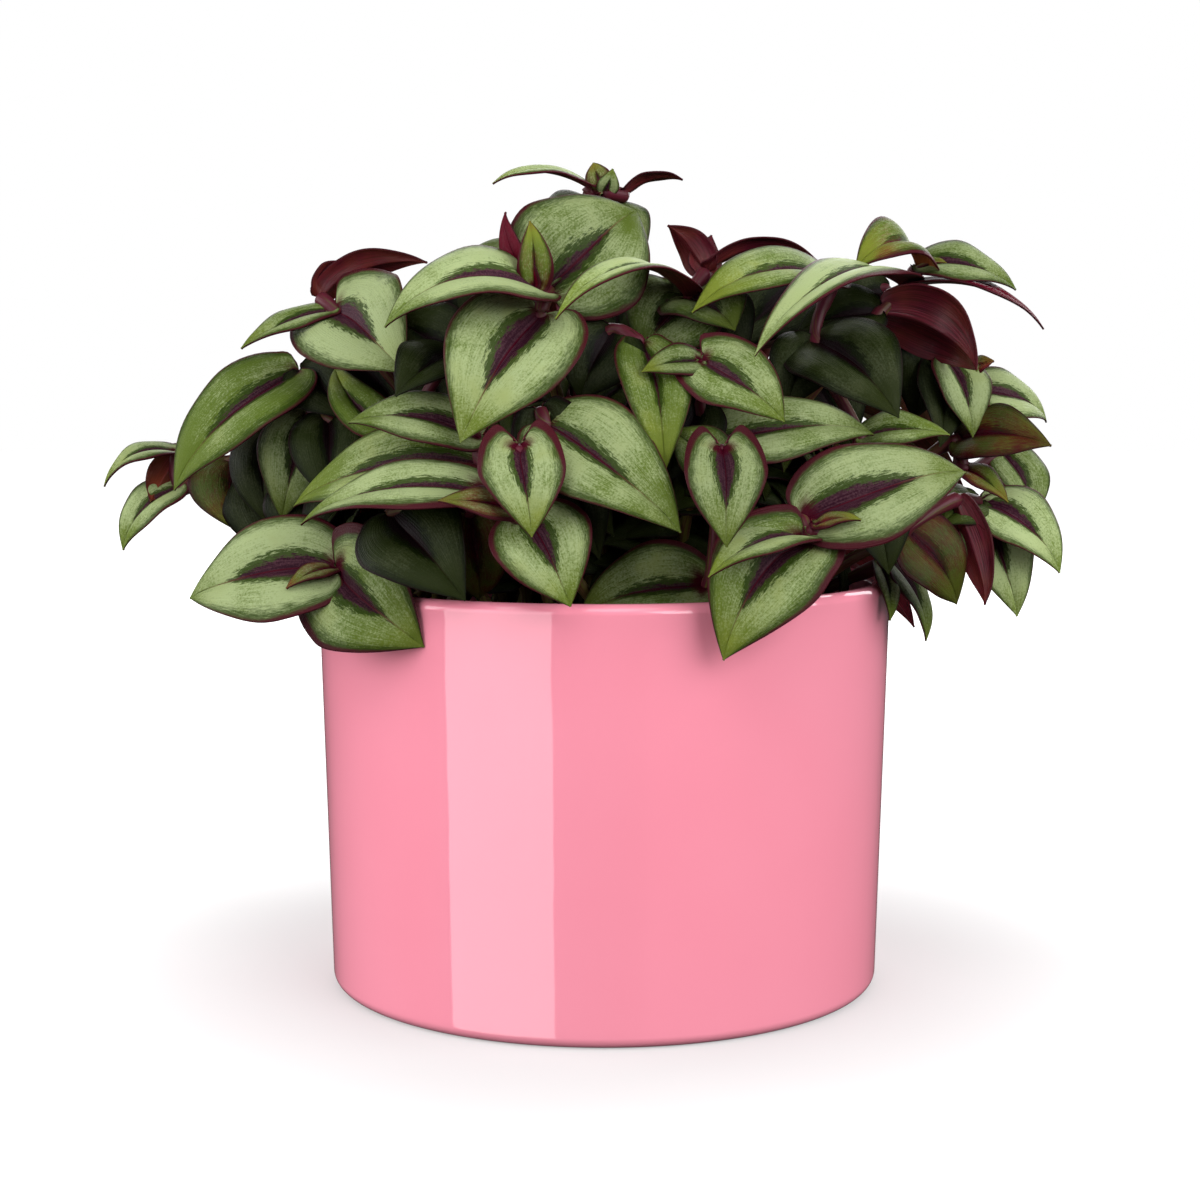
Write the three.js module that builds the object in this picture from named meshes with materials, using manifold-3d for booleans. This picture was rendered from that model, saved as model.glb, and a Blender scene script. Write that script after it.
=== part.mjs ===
// A potted tradescantia: a glazed cylinder pot, the soil in it, and the leafy stems that grow out of it.
// Millimetres, +Z up. The origin is the centre of the pot's underside, and the plant's front faces -Y.
import * as THREE from "three";
import { mergeVertices } from "three/addons/utils/BufferGeometryUtils.js";
import Module from "manifold-3d";

const wasm = await Module();
wasm.setup();

// Driving dimensions, in millimetres and degrees.
const POT = { rimRadius: 75, footRadius: 72.1, height: 106.5, wall: 5, floor: 7, footRound: 3, sides: 40 };
const CORNER = { low: 3.5, high: 1.5, rise: 2 };
const SOIL = { level: 91, gap: 0.3, cornerGap: 0.4, lumps: 1.5, rings: 2, sides: 24 };
const STEM = {
  radius: 1.6, sides: 5, stepsPerSpan: 1, holeGap: 0.35, rootDepth: 9, straight: 5,
  jointGap: 4, end: 2, bowAt: 0.55, inward: 0.12, clearance: 0.4,
};
const BLADE = {
  thick: 0.7, rows: [0, 0.09, 0.32, 0.66, 1], fewRows: [0, 0.14, 0.5, 1], plainUnder: 19,
  rise: 0.48, cup: 0.34, rootWidth: 2.6, tipWidth: 0.5,
};
const OUTLINE = { swell: 0.5, taper: 1.05, peak: 0.377, lobeReach: 0.28 };
const USUAL = { arch: 0.1, lobe: 0.08, sweep: 0 };
const MOUND = { foot: 100, height: 115, raisedLow: 22, raisedHigh: 62, aside: 112, back: 110, above: 100 };

// The soil's top is lumpy: a broad swell and a shorter one across it, each with its share of the height.
const BROAD = { share: 0.6, aside: 0.21, ahead: 0.19, start: 1 };
const SHORT = { share: 0.4, aside: 0.5, ahead: 0.43 };

// Room that a blade needs about it, and how far its tip is bent, in turn, until it has that room.
const ROOM = { thick: 2.1, siblingFrom: 0.3, overlap: 0.01, touch: 0.0001 };
const SLIVERS = [0.08, 0.05, 0.03, 0.02, 0.01];
const BENDS = [0, -3, 3, -6, 6, -9, 9, -12, 12, -16, 16, -20, 20, -25];
const SLIDES = [0, -8, 8, -16, 16];

// The place that the plant is seen from. A point is given as it is seen from there, across and down a view
// of 1200 by 1200, with how far it lies ahead of the pot's axis.
const VIEW = { distance: 585.5, height: 159.5, aside: -1.14, tilt: 5.794, focal: 2223.7, middle: 600 };

const vec = (x, y, z) => new THREE.Vector3(x, y, z);
const radians = THREE.MathUtils.degToRad;
const UP = vec(0, 0, 1);

// The point seen at (across, down), at a distance ahead of the pot's axis.
function seen([across, down, ahead]) {
  const tilt = radians(VIEW.tilt);
  const right = (across - VIEW.middle) / VIEW.focal;
  const up = (VIEW.middle - down) / VIEW.focal;
  const ray = vec(right, Math.cos(tilt) + up * Math.sin(tilt), up * Math.cos(tilt) - Math.sin(tilt));
  const eye = vec(VIEW.aside, -VIEW.distance, VIEW.height);
  return ray.multiplyScalar((VIEW.distance - ahead) / ray.y).add(eye);
}

// A direction turned round from the front, to the viewer's right, and raised, in degrees.
function facing([round, raised]) {
  const a = radians(round);
  const e = radians(raised);
  return vec(Math.sin(a) * Math.cos(e), -Math.cos(a) * Math.cos(e), Math.sin(e));
}

// A repeatable draw from 0 to 1.
function seededDraw(seed) {
  let state = seed;
  return () => {
    state = (Math.imul(state, 1664525) + 1013904223) >>> 0;
    return state / 4294967296;
  };
}

// ---- Solids -------------------------------------------------------------------------------------------

// A solid from a closed geometry, with vertices that are nearer than the tolerance merged.
function solid(geometry, tolerance = 1e-4) {
  const bare = new THREE.BufferGeometry();
  bare.setAttribute("position", geometry.getAttribute("position"));
  bare.setIndex(geometry.getIndex());
  const merged = mergeVertices(bare, tolerance);
  const index = merged.getIndex().array;
  const kept = [];
  for (let i = 0; i < index.length; i += 3) {
    const [a, b, c] = [index[i], index[i + 1], index[i + 2]];
    if (a !== b && b !== c && c !== a) kept.push(a, b, c);
  }
  const vertProperties = new Float32Array(merged.getAttribute("position").array);
  return new wasm.Manifold(new wasm.Mesh({ numProp: 3, vertProperties, triVerts: new Uint32Array(kept) }));
}

function geometryOf(shell) {
  const mesh = shell.getMesh();
  const geometry = new THREE.BufferGeometry();
  geometry.setAttribute("position", new THREE.BufferAttribute(new Float32Array(mesh.vertProperties), 3));
  geometry.setIndex(new THREE.BufferAttribute(new Uint32Array(mesh.triVerts), 1));
  return geometry;
}

// Whether each edge of a geometry belongs to just two of its triangles.
function edgesPair(geometry) {
  const index = mergeVertices(geometry, 1e-3).getIndex().array;
  const uses = new Map();
  for (let i = 0; i < index.length; i += 3) {
    for (const [a, b] of [[0, 1], [1, 2], [2, 0]]) {
      const key = [index[i + a], index[i + b]].sort().join();
      uses.set(key, (uses.get(key) ?? 0) + 1);
    }
  }
  return [...uses.values()].every((count) => count === 2);
}

// The same solid without its slivers, at the coarsest tolerance that keeps it closed and in one piece.
function withoutSlivers(shell) {
  const geometry = geometryOf(shell);
  for (const tolerance of SLIVERS) {
    try {
      const clean = solid(geometry, tolerance);
      if (clean.decompose().length === 1 && edgesPair(geometryOf(clean))) return clean;
    } catch {
      continue;
    }
  }
  return shell;
}

const fused = (solids) => solids.reduce((sum, piece) => sum.add(piece));

function boxesMeet(a, b) {
  const [p, q] = [a.boundingBox(), b.boundingBox()];
  return [0, 1, 2].every((i) => p.min[i] < q.max[i] && q.min[i] < p.max[i]);
}

// The volume that two solids share.
function shared(a, b) {
  if (!boxesMeet(a, b)) return 0;
  const common = a.intersect(b);
  const volume = common.volume();
  common.delete();
  return volume;
}

// ---- Pot and soil -------------------------------------------------------------------------------------

// The pot's wall leans out a little from its foot to its rim.
function potRadius(z) {
  return THREE.MathUtils.lerp(POT.footRadius, POT.rimRadius, z / POT.height);
}

function turned(profile, sides) {
  return new THREE.LatheGeometry(profile, sides).rotateX(Math.PI / 2);
}

function potSolid() {
  const profile = new THREE.Path();
  const half = POT.wall / 2;
  const inner = POT.rimRadius - POT.wall;
  profile.moveTo(0, 0);
  profile.lineTo(POT.footRadius - POT.footRound, 0);
  profile.quadraticCurveTo(POT.footRadius, 0, potRadius(POT.footRound), POT.footRound);
  profile.lineTo(potRadius(POT.height - half), POT.height - half);
  profile.absarc(POT.rimRadius - half, POT.height - half, half, 0, Math.PI, false);
  profile.lineTo(inner - CORNER.high, POT.floor + CORNER.rise);
  profile.lineTo(inner - CORNER.low, POT.floor);
  profile.lineTo(0, POT.floor);
  return solid(turned(profile.getPoints(2), POT.sides));
}

function soilLump(x, y) {
  const broad = Math.sin(x * BROAD.aside + BROAD.start) * Math.cos(y * BROAD.ahead);
  const short = Math.sin(x * SHORT.aside - y * SHORT.ahead);
  return SOIL.lumps * (BROAD.share * broad + SHORT.share * short);
}

function soilSolid(roots) {
  const inner = POT.rimRadius - POT.wall - SOIL.gap;
  const corner = inner - SOIL.cornerGap;
  const under = POT.floor + SOIL.gap;
  const profile = [new THREE.Vector2(0, under), new THREE.Vector2(corner - CORNER.low, under)];
  profile.push(new THREE.Vector2(corner - CORNER.high, under + CORNER.rise));
  for (let ring = 0; ring <= SOIL.rings; ring += 1) {
    profile.push(new THREE.Vector2((inner - SOIL.gap) * (1 - ring / SOIL.rings), SOIL.level));
  }
  const geometry = turned(profile, SOIL.sides);
  const places = geometry.getAttribute("position");
  for (let i = 0; i < places.count; i += 1) {
    const [x, y, z] = [places.getX(i), places.getY(i), places.getZ(i)];
    if (z > SOIL.level - 1) places.setZ(i, z + soilLump(x, y));
  }
  const holeRadius = STEM.radius + STEM.holeGap;
  const holeDepth = STEM.rootDepth + SOIL.gap;
  const holes = roots.map((root) => {
    const hole = new THREE.CylinderGeometry(holeRadius, holeRadius, 2 * holeDepth, STEM.sides);
    return solid(hole.rotateX(Math.PI / 2).translate(root.x, root.y, SOIL.level));
  });
  return holes.reduce((soil, hole) => soil.subtract(hole), solid(geometry));
}

// ---- Leaves -------------------------------------------------------------------------------------------

// Half the width of a blade, as a share of its widest half, from its root (0) to its tip (1).
function halfWidth(along) {
  return (along ** OUTLINE.swell * (1 - along) ** OUTLINE.taper) / OUTLINE.peak;
}

// The point of a blade at a share of its length, across from -1 to 1, and lifted off its middle face.
function bladePoint(leaf, along, across, lift) {
  const length = leaf.tip.distanceTo(leaf.base);
  const forward = leaf.tip.clone().sub(leaf.base).divideScalar(length);
  const side = forward.clone().cross(leaf.up).normalize();
  const upper = side.clone().cross(forward);
  const narrowest = along < 0.5 ? BLADE.rootWidth : BLADE.tipWidth;
  const half = Math.max(halfWidth(along) * leaf.wide, narrowest) / 2;
  const back = leaf.lobe * across * across * Math.max(0, 1 - along / OUTLINE.lobeReach);
  const slope = leaf.arch * 4 * (1 - 2 * along);
  const normal = upper.clone().addScaledVector(forward, -slope).normalize();
  const raise = half * (BLADE.rise * Math.abs(across) - BLADE.cup * across * across) + lift;
  return leaf.base.clone()
    .addScaledVector(forward, length * (along - back * (along > 0 ? 1 : 0)))
    .addScaledVector(upper, length * leaf.arch * 4 * along * (1 - along))
    .addScaledVector(side, half * across + length * leaf.sweep * 4 * along * (1 - along))
    .addScaledVector(normal, raise);
}

// A blade: a grid of its upper face, the same grid under it, and a strip round them.
function bladeSolid(leaf, thick, from = 0) {
  const rows = (leaf.plain ? BLADE.fewRows : BLADE.rows).filter((row) => row >= from);
  const grid = new THREE.PlaneGeometry(2, 1, 2, rows.length - 1);
  const flat = grid.getAttribute("position");
  const count = flat.count;
  const places = [];
  for (const lift of [thick / 2, -thick / 2]) {
    for (let i = 0; i < count; i += 1) {
      const point = bladePoint(leaf, rows[Math.floor(i / 3)], flat.getX(i), lift);
      places.push(point.x, point.y, point.z);
    }
  }
  const upper = [...grid.getIndex().array];
  const index = [];
  for (let i = 0; i < upper.length; i += 3) {
    const [a, b, c] = upper.slice(i, i + 3);
    index.push(a, c, b, a + count, b + count, c + count);
  }
  const last = rows.length - 1;
  const edge = [0, 1, 2];
  for (let row = 1; row <= last; row += 1) edge.push(row * 3 + 2);
  edge.push(last * 3 + 1, last * 3);
  for (let row = last - 1; row > 0; row -= 1) edge.push(row * 3);
  edge.forEach((a, i) => {
    const b = edge[(i + 1) % edge.length];
    index.push(b, a, a + count, b, a + count, b + count);
  });
  const geometry = new THREE.BufferGeometry();
  geometry.setAttribute("position", new THREE.Float32BufferAttribute(places, 3));
  geometry.setIndex(index);
  return solid(geometry);
}

// The upper face of a leaf looks outward from the plant, and the more upward the higher the leaf is.
function usualFacing(place) {
  const outward = vec(place.x, place.y, 0).normalize();
  const share = THREE.MathUtils.clamp((place.z - MOUND.foot) / MOUND.height, 0, 1);
  const raised = radians(THREE.MathUtils.lerp(MOUND.raisedLow, MOUND.raisedHigh, share));
  return outward.multiplyScalar(Math.cos(raised)).addScaledVector(UP, Math.sin(raised));
}

// ---- Leafy stems that show from the front -------------------------------------------------------------
// Each stem grows from its root, given by how far round from the front and how far out it stands, through
// its leaves' bases in their order. A leaf's base and tip are places in the view, wide is in millimetres.

const FRONT_STEMS = [
  { name: "stem_centre_heart", root: [2, 46], leaves: [
    { base: [525, 515, 70], tip: [572, 606, 80], wide: 24, face: [5, 20] },
    { base: [515, 514, 76], tip: [438, 500, 82], wide: 9, face: [-6, 40] },
    { base: [520, 446, 72], tip: [531, 537, 85], wide: 20, face: [0, 22], lobe: 0.32, arch: 0.12 },
  ] },
  { name: "stem_right_heart", root: [28, 50], leaves: [
    { base: [708, 586, 55], tip: [576, 620, 61], wide: 25, face: [0, 36], arch: 0.15 },
    { base: [720, 470, 66], tip: [670, 430, 64], wide: 14, face: [-10, 34] },
    { base: [722, 449, 72], tip: [728, 547, 86], wide: 19, face: [0, 20], lobe: 0.3, arch: 0.12 },
  ] },
  { name: "stem_right_front", root: [46, 52], leaves: [
    { base: [802, 522, 66], tip: [968, 472, 54], wide: 28, face: [18, 40] },
    { base: [807, 539, 68], tip: [724, 661, 78], wide: 27, face: [-2, 12], lobe: 0.2, sweep: 0.12 },
    { base: [812, 529, 69], tip: [707, 575, 80], wide: 16, face: [-20, 62] },
    { base: [816, 527, 70], tip: [861, 520, 74], wide: 7, face: [10, 60] },
  ] },
  { name: "stem_left_front", root: [-50, 52], leaves: [
    { base: [337, 570, 44], tip: [188, 596, 36], wide: 30, face: [-24, 32], lobe: 0.12 },
    { base: [339, 579, 46], tip: [423, 648, 62], wide: 31, face: [-22, 12], lobe: 0.26, arch: 0.12 },
    { base: [341, 573, 47], tip: [286, 588, 52], wide: 8, face: [-20, 56] },
  ] },
  { name: "stem_left_rim", root: [-30, 52], leaves: [
    { base: [392, 514, 50], tip: [465, 600, 60], wide: 27, face: [-6, 18] },
    { base: [470, 510, 60], tip: [479, 600, 66], wide: 16, face: [4, 20] },
    { base: [500, 500, 66], tip: [298, 522, 56], wide: 20, face: [-8, 58], arch: 0.13 },
  ] },
  { name: "stem_mid_left", root: [-18, 40], leaves: [
    { base: [482, 466, 55], tip: [291, 503, 46], wide: 27, face: [-18, 48] },
    { base: [480, 440, 54], tip: [348, 420, 52], wide: 18, face: [-12, 48], arch: 0.12 },
  ] },
  { name: "stem_centre_right", root: [12, 36], leaves: [
    { base: [545, 425, 60], tip: [680, 533, 80], wide: 28, face: [4, 34] },
    { base: [540, 410, 58], tip: [600, 560, 66], wide: 20, face: [0, 20] },
  ] },
  { name: "stem_right_middle", root: [34, 36], leaves: [
    { base: [706, 445, 58], tip: [876, 434, 62], wide: 21, face: [12, 44] },
    { base: [700, 404, 53], tip: [668, 482, 60], wide: 17, face: [-4, 22] },
    { base: [701, 362, 55], tip: [642, 372, 62], wide: 10, face: [-10, 30] },
    { base: [707, 360, 56], tip: [784, 422, 74], wide: 21, face: [10, 30], lobe: 0.26 },
  ] },
  { name: "stem_right_low", root: [62, 46], leaves: [
    { base: [858, 480, 34], tip: [890, 574, 44], wide: 20, face: [20, 20] },
    { base: [860, 440, 36], tip: [950, 434, 40], wide: 14, face: [20, 52] },
    { base: [815, 342, 28], tip: [786, 410, 40], wide: 18, face: [-6, 24] },
    { base: [812, 336, 30], tip: [900, 416, 46], wide: 27, face: [8, 20] },
    { base: [832, 283, 24], tip: [691, 310, 48], wide: 20, face: [-6, 50], arch: 0.15 },
  ] },
  { name: "stem_centre_top", root: [-6, 24], leaves: [
    { base: [541, 316, 46], tip: [458, 441, 68], wide: 32, face: [0, 28], lobe: 0.16 },
    { base: [545, 296, 44], tip: [383, 326, 58], wide: 23, face: [-14, 50], arch: 0.22 },
    { base: [547, 292, 40], tip: [638, 210, 26], wide: 37, face: [4, 26], lobe: 0.12 },
    { base: [538, 284, 38], tip: [474, 246, 22], wide: 20, face: [-18, 50] },
    { base: [536, 290, 45], tip: [529, 221, 46], wide: 9, face: [14, 10] },
    { base: [533, 282, 42], tip: [504, 212, 38], wide: 8, face: [-40, 0] },
  ] },
  { name: "stem_red", root: [20, 22], leaves: [
    { base: [688, 300, 33], tip: [640, 354, 50], wide: 27, face: [0, 34] },
    { base: [692, 300, 32], tip: [735, 330, 46], wide: 24, face: [16, 34] },
    { base: [692, 292, 31], tip: [556, 316, 56], wide: 13, face: [0, 68], arch: 0.18 },
    { base: [706, 272, 28], tip: [818, 259, 28], wide: 11, face: [176, 66], arch: 0.16 },
    { base: [700, 284, 28], tip: [668, 225, 27], wide: 11, face: [150, 24] },
    { base: [700, 280, 27], tip: [711, 235, 24], wide: 9, face: [190, 12] },
  ] },
  { name: "stem_hanging", root: [8, 20], leaves: [
    { base: [612, 330, 44], tip: [580, 400, 52], wide: 22, face: [-6, 24] },
    { base: [642, 345, 46], tip: [668, 470, 72], wide: 18, face: [8, 22] },
  ] },
  { name: "stem_top", root: [-4, 8], leaves: [
    { base: [600, 210, 6], tip: [642, 262, 16], wide: 18, face: [16, 48] },
    { base: [597, 200, 6], tip: [540, 232, 16], wide: 20, face: [-18, 50] },
    { base: [590, 189, 8], tip: [492, 182, 16], wide: 12, face: [-4, 74], arch: 0.13 },
    { base: [624, 196, 6], tip: [683, 179, 4], wide: 10, face: [170, 76], arch: 0.14 },
    { base: [604, 192, 9], tip: [613, 169, 12], wide: 6, face: [20, 20] },
    { base: [600, 190, 9], tip: [593, 163, 11], wide: 7, face: [-16, 30] },
  ] },
  { name: "stem_right_top", root: [66, 26], leaves: [
    { base: [880, 313, 20], tip: [796, 334, 36], wide: 18, face: [-4, 40] },
    { base: [892, 308, 20], tip: [979, 371, 32], wide: 20, face: [196, 36], arch: 0.24 },
    { base: [905, 288, 14], tip: [755, 352, 56], wide: 18, face: [-18, 58], arch: 0.15 },
    { base: [908, 281, 12], tip: [1046, 327, 22], wide: 12, face: [10, 80], arch: 0.14 },
    { base: [917, 268, 12], tip: [1017, 289, 16], wide: 18, face: [4, 56], arch: 0.14 },
    { base: [911, 275, 12], tip: [855, 270, 22], wide: 22, face: [-24, 44], arch: 0.38 },
    { base: [914, 276, 15], tip: [946, 263, 17], wide: 6, face: [0, 60] },
  ] },
  { name: "stem_right_trail", root: [80, 44], leaves: [
    { base: [926, 336, 8], tip: [914, 420, 22], wide: 16, face: [14, 20] },
    { base: [940, 366, 6], tip: [940, 446, 16], wide: 16, face: [20, 22] },
    { base: [946, 360, 12], tip: [974, 437, 28], wide: 17, face: [28, 24] },
    { base: [974, 392, 10], tip: [1048, 422, 10], wide: 17, face: [12, 46], arch: 0.14 },
    { base: [970, 410, 8], tip: [1030, 441, 16], wide: 12, face: [190, 42] },
    { base: [972, 372, 10], tip: [994, 361, 12], wide: 7, face: [20, 50] },
  ] },
  { name: "stem_right_low_trail", root: [70, 56], leaves: [
    { base: [958, 441, 14], tip: [1052, 444, 18], wide: 18, face: [4, 34], arch: 0.12 },
    { base: [962, 470, 18], tip: [1008, 502, 26], wide: 9, face: [20, 40] },
    { base: [1000, 452, 4], tip: [1034, 523, 8], wide: 19, face: [32, 30], arch: 0.12 },
  ] },
  { name: "stem_right_hanging", root: [58, 58], leaves: [
    { base: [905, 530, 34], tip: [958, 604, 46], wide: 22, face: [30, 22] },
    { base: [955, 500, 26], tip: [985, 606, 38], wide: 11, face: [150, 10] },
    { base: [978, 503, 18], tip: [1017, 617, 30], wide: 20, face: [14, 16] },
    { base: [984, 498, 16], tip: [1060, 573, 14], wide: 21, face: [24, 30], sweep: -0.08 },
    { base: [978, 494, 20], tip: [940, 525, 30], wide: 16, face: [0, 42] },
  ] },
  { name: "stem_right_rim", root: [84, 56], leaves: [
    { base: [878, 566, 20], tip: [890, 620, 30], wide: 8, face: [40, 30] },
    { base: [888, 561, 16], tip: [927, 641, 20], wide: 17, face: [60, 26] },
  ] },
  { name: "stem_left_top", root: [-66, 26], leaves: [
    { base: [336, 312, 22], tip: [407, 371, 46], wide: 31, face: [-6, 22], lobe: 0.28 },
    { base: [332, 304, 20], tip: [240, 347, 30], wide: 13, face: [-20, 62], arch: 0.06 },
    { base: [320, 298, 18], tip: [428, 261, 16], wide: 11, face: [176, 44], arch: 0.2 },
    { base: [333, 294, 18], tip: [352, 262, 14], wide: 12, face: [200, 50] },
  ] },
  { name: "stem_left_inner", root: [-40, 30], leaves: [
    { base: [460, 356, 40], tip: [388, 322, 28], wide: 20, face: [-14, 30] },
    { base: [455, 362, 42], tip: [395, 395, 48], wide: 20, face: [-10, 40] },
    { base: [400, 440, 36], tip: [334, 367, 38], wide: 13, face: [24, 6], sweep: -0.12 },
  ] },
  { name: "stem_big_left", root: [-74, 44], leaves: [
    { base: [328, 418, 20], tip: [336, 506, 34], wide: 20, face: [-4, 22] },
    { base: [312, 415, 16], tip: [282, 520, 32], wide: 21, face: [-12, 22] },
    { base: [270, 430, 10], tip: [268, 526, 24], wide: 19, face: [-22, 22] },
    { base: [300, 372, 12], tip: [172, 489, 26], wide: 27, face: [-16, 44] },
    { base: [303, 374, 12], tip: [352, 420, 26], wide: 18, face: [2, 30] },
  ] },
  { name: "stem_far_left", root: [-86, 48], leaves: [
    { base: [236, 460, 2], tip: [238, 531, 14], wide: 24, face: [-14, 20] },
    { base: [180, 488, 0], tip: [122, 550, 8], wide: 16, face: [-28, 44], arch: 0.16 },
    { base: [177, 454, -2], tip: [150, 502, 6], wide: 10, face: [170, 24] },
    { base: [176, 446, -4], tip: [103, 486, 2], wide: 12, face: [-20, 68], arch: 0.2 },
  ] },
];

// ---- Leafy stems round the back and sides --------------------------------------------------------------
// Rings of stems: how many each has, how far round they go, and how far out and how high their ends are.
const BACK_RINGS = [
  { name: "back_low", count: 6, round: [115, 246], root: 56, out: 86, high: 122, leaves: 4, reach: 47 },
  { name: "back_middle", count: 5, round: [110, 250], root: 42, out: 80, high: 152, leaves: 4, reach: 50 },
  { name: "back_high", count: 3, round: [124, 236], root: 26, out: 54, high: 180, leaves: 4, reach: 47 },
  { name: "back_top", count: 2, round: [160, 215], root: 12, out: 24, high: 196, leaves: 4, reach: 40 },
];
const BACK = {
  seed: 41, spread: 58, closing: 0.45, jitter: 16, outJitter: 0.16, highJitter: 0.06, turnJitter: 24,
  dipFirst: -28, dipLast: -46, dipJitter: 26, reachJitter: 0.2, rise: 14, tuck: 4, firstLeaf: 0.42,
  wideShare: 0.54, smallest: 0.5, arch: 0.13, sweep: 0.16,
};

// A tip that reaches out of the mound of leaves is drawn back onto it.
function withinMound(tip) {
  const level = tip.z - MOUND.foot;
  const reach = Math.hypot(tip.x / MOUND.aside, tip.y / MOUND.back, level / MOUND.above);
  return reach > 1 ? vec(tip.x / reach, tip.y / reach, MOUND.foot + level / reach) : tip;
}

// The leaves of a stem in a ring stand by turns to its left and right, and are smaller towards its end.
function backStem(ring, number, draw) {
  const share = number / (ring.count - 1);
  const jitter = (range) => (draw() - 0.5) * range;
  const round = THREE.MathUtils.lerp(ring.round[0], ring.round[1], share) + jitter(BACK.jitter);
  const outward = facing([round, 0]);
  const out = ring.out * (1 + jitter(BACK.outJitter));
  const root = outward.clone().multiplyScalar(ring.root).setZ(SOIL.level);
  const end = outward.clone().multiplyScalar(out).setZ(ring.high * (1 + jitter(BACK.highJitter)));
  const middle = root.clone().lerp(end, 0.5).addScaledVector(UP, BACK.rise);
  middle.addScaledVector(outward, -BACK.tuck);
  const path = new THREE.CatmullRomCurve3([root, middle, end]);
  const leaves = [];
  for (let k = 0; k < ring.leaves; k += 1) {
    const along = k / (ring.leaves - 1);
    const base = path.getPoint(THREE.MathUtils.lerp(BACK.firstLeaf, 1, along));
    const turn = (k % 2 ? 1 : -1) * BACK.spread * (1 - BACK.closing * along) + jitter(BACK.turnJitter);
    const dip = THREE.MathUtils.lerp(BACK.dipFirst, BACK.dipLast, along) + jitter(BACK.dipJitter);
    const smaller = THREE.MathUtils.lerp(1, BACK.smallest, along ** 3);
    const reach = ring.reach * smaller * (1 + jitter(BACK.reachJitter));
    const tip = withinMound(base.clone().addScaledVector(facing([round + turn, dip]), reach));
    const up = usualFacing(base.clone().lerp(tip, 0.5));
    const sweep = jitter(BACK.sweep);
    const wide = reach * BACK.wideShare;
    leaves.push({ ...USUAL, plain: true, base, tip, up, sway: up, wide, arch: BACK.arch, sweep });
  }
  return { name: `stem_${ring.name}_${number + 1}`, root, leaves, optional: true };
}

function frontStem({ name, root: [round, out], leaves }) {
  const root = facing([round, 0]).multiplyScalar(out).setZ(SOIL.level);
  const grown = leaves.map((leaf) => {
    const tip = seen(leaf.tip);
    const sway = tip.clone().sub(vec(VIEW.aside, -VIEW.distance, VIEW.height)).normalize().negate();
    const plain = leaf.wide < BLADE.plainUnder;
    return { ...USUAL, ...leaf, plain, base: seen(leaf.base), tip, up: facing(leaf.face), sway };
  });
  return { name, root, leaves: grown, optional: false };
}

// ---- Stems --------------------------------------------------------------------------------------------

// A curve that is divided at its own points, so that a stem passes right through each leaf's base.
class JointedCurve extends THREE.CatmullRomCurve3 {
  getUtoTmapping(share) {
    return share;
  }
}

// The joints that a stem's leaves grow from. Leaves with bases closer together than the gap share one.
function findJoints(leaves) {
  const joints = [];
  for (const leaf of leaves) {
    if (!joints.length || leaf.base.distanceTo(joints.at(-1)) > STEM.jointGap) joints.push(leaf.base);
    leaf.base = joints.at(-1);
  }
  return joints;
}

// The stem goes straight up out of the soil, bows aside, runs through its joints and ends past them.
function stemCurve(stem, aside) {
  const points = [stem.root.clone().setZ(SOIL.level - STEM.rootDepth)];
  points.push(stem.root.clone().setZ(SOIL.level + STEM.straight));
  const first = stem.joints[0];
  const across = first.clone().sub(stem.root).cross(UP).normalize();
  const inward = vec(-first.x, -first.y, 0).multiplyScalar(STEM.inward);
  points.push(stem.root.clone().lerp(first, STEM.bowAt).add(inward).addScaledVector(across, aside));
  points.push(...stem.joints);
  const last = points.pop();
  points.push(last.clone().add(last.clone().sub(points.at(-1)).setLength(STEM.end)));
  return new JointedCurve(points, false, "centripetal");
}

function stemSolid(stem, aside, radius) {
  const curve = stemCurve(stem, aside);
  const ring = new THREE.EllipseCurve(0, 0, radius, radius).getPoints(STEM.sides);
  const section = new THREE.Shape(ring.slice(0, -1));
  const steps = (curve.points.length - 1) * STEM.stepsPerSpan;
  return solid(new THREE.ExtrudeGeometry(section, { steps, extrudePath: curve, bevelEnabled: false }));
}

// ---- Growing the plant --------------------------------------------------------------------------------

const overlapWith = (piece, others) => others.reduce((sum, other) => sum + shared(piece, other), 0);

// Each stem takes the first bow aside that clears the pot and the stems before it.
function growStems(stems, pot) {
  const placed = [pot];
  for (const stem of stems) {
    stem.joints = findJoints(stem.leaves);
    const fat = STEM.radius + STEM.clearance;
    const tries = SLIDES.map((aside) => ({ aside, shell: stemSolid(stem, aside, fat) }));
    for (const one of tries) one.overlap = overlapWith(one.shell, placed);
    const clear = tries.find((one) => one.overlap < ROOM.overlap);
    const best = clear ?? tries.sort((a, b) => a.overlap - b.overlap)[0];
    stem.shell = stemSolid(stem, best.aside, STEM.radius);
    placed.push(best.shell);
  }
}

// A leaf with its tip swayed by a bend.
function bent(leaf, bend) {
  return { ...leaf, tip: leaf.tip.clone().addScaledVector(leaf.sway, bend) };
}

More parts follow.
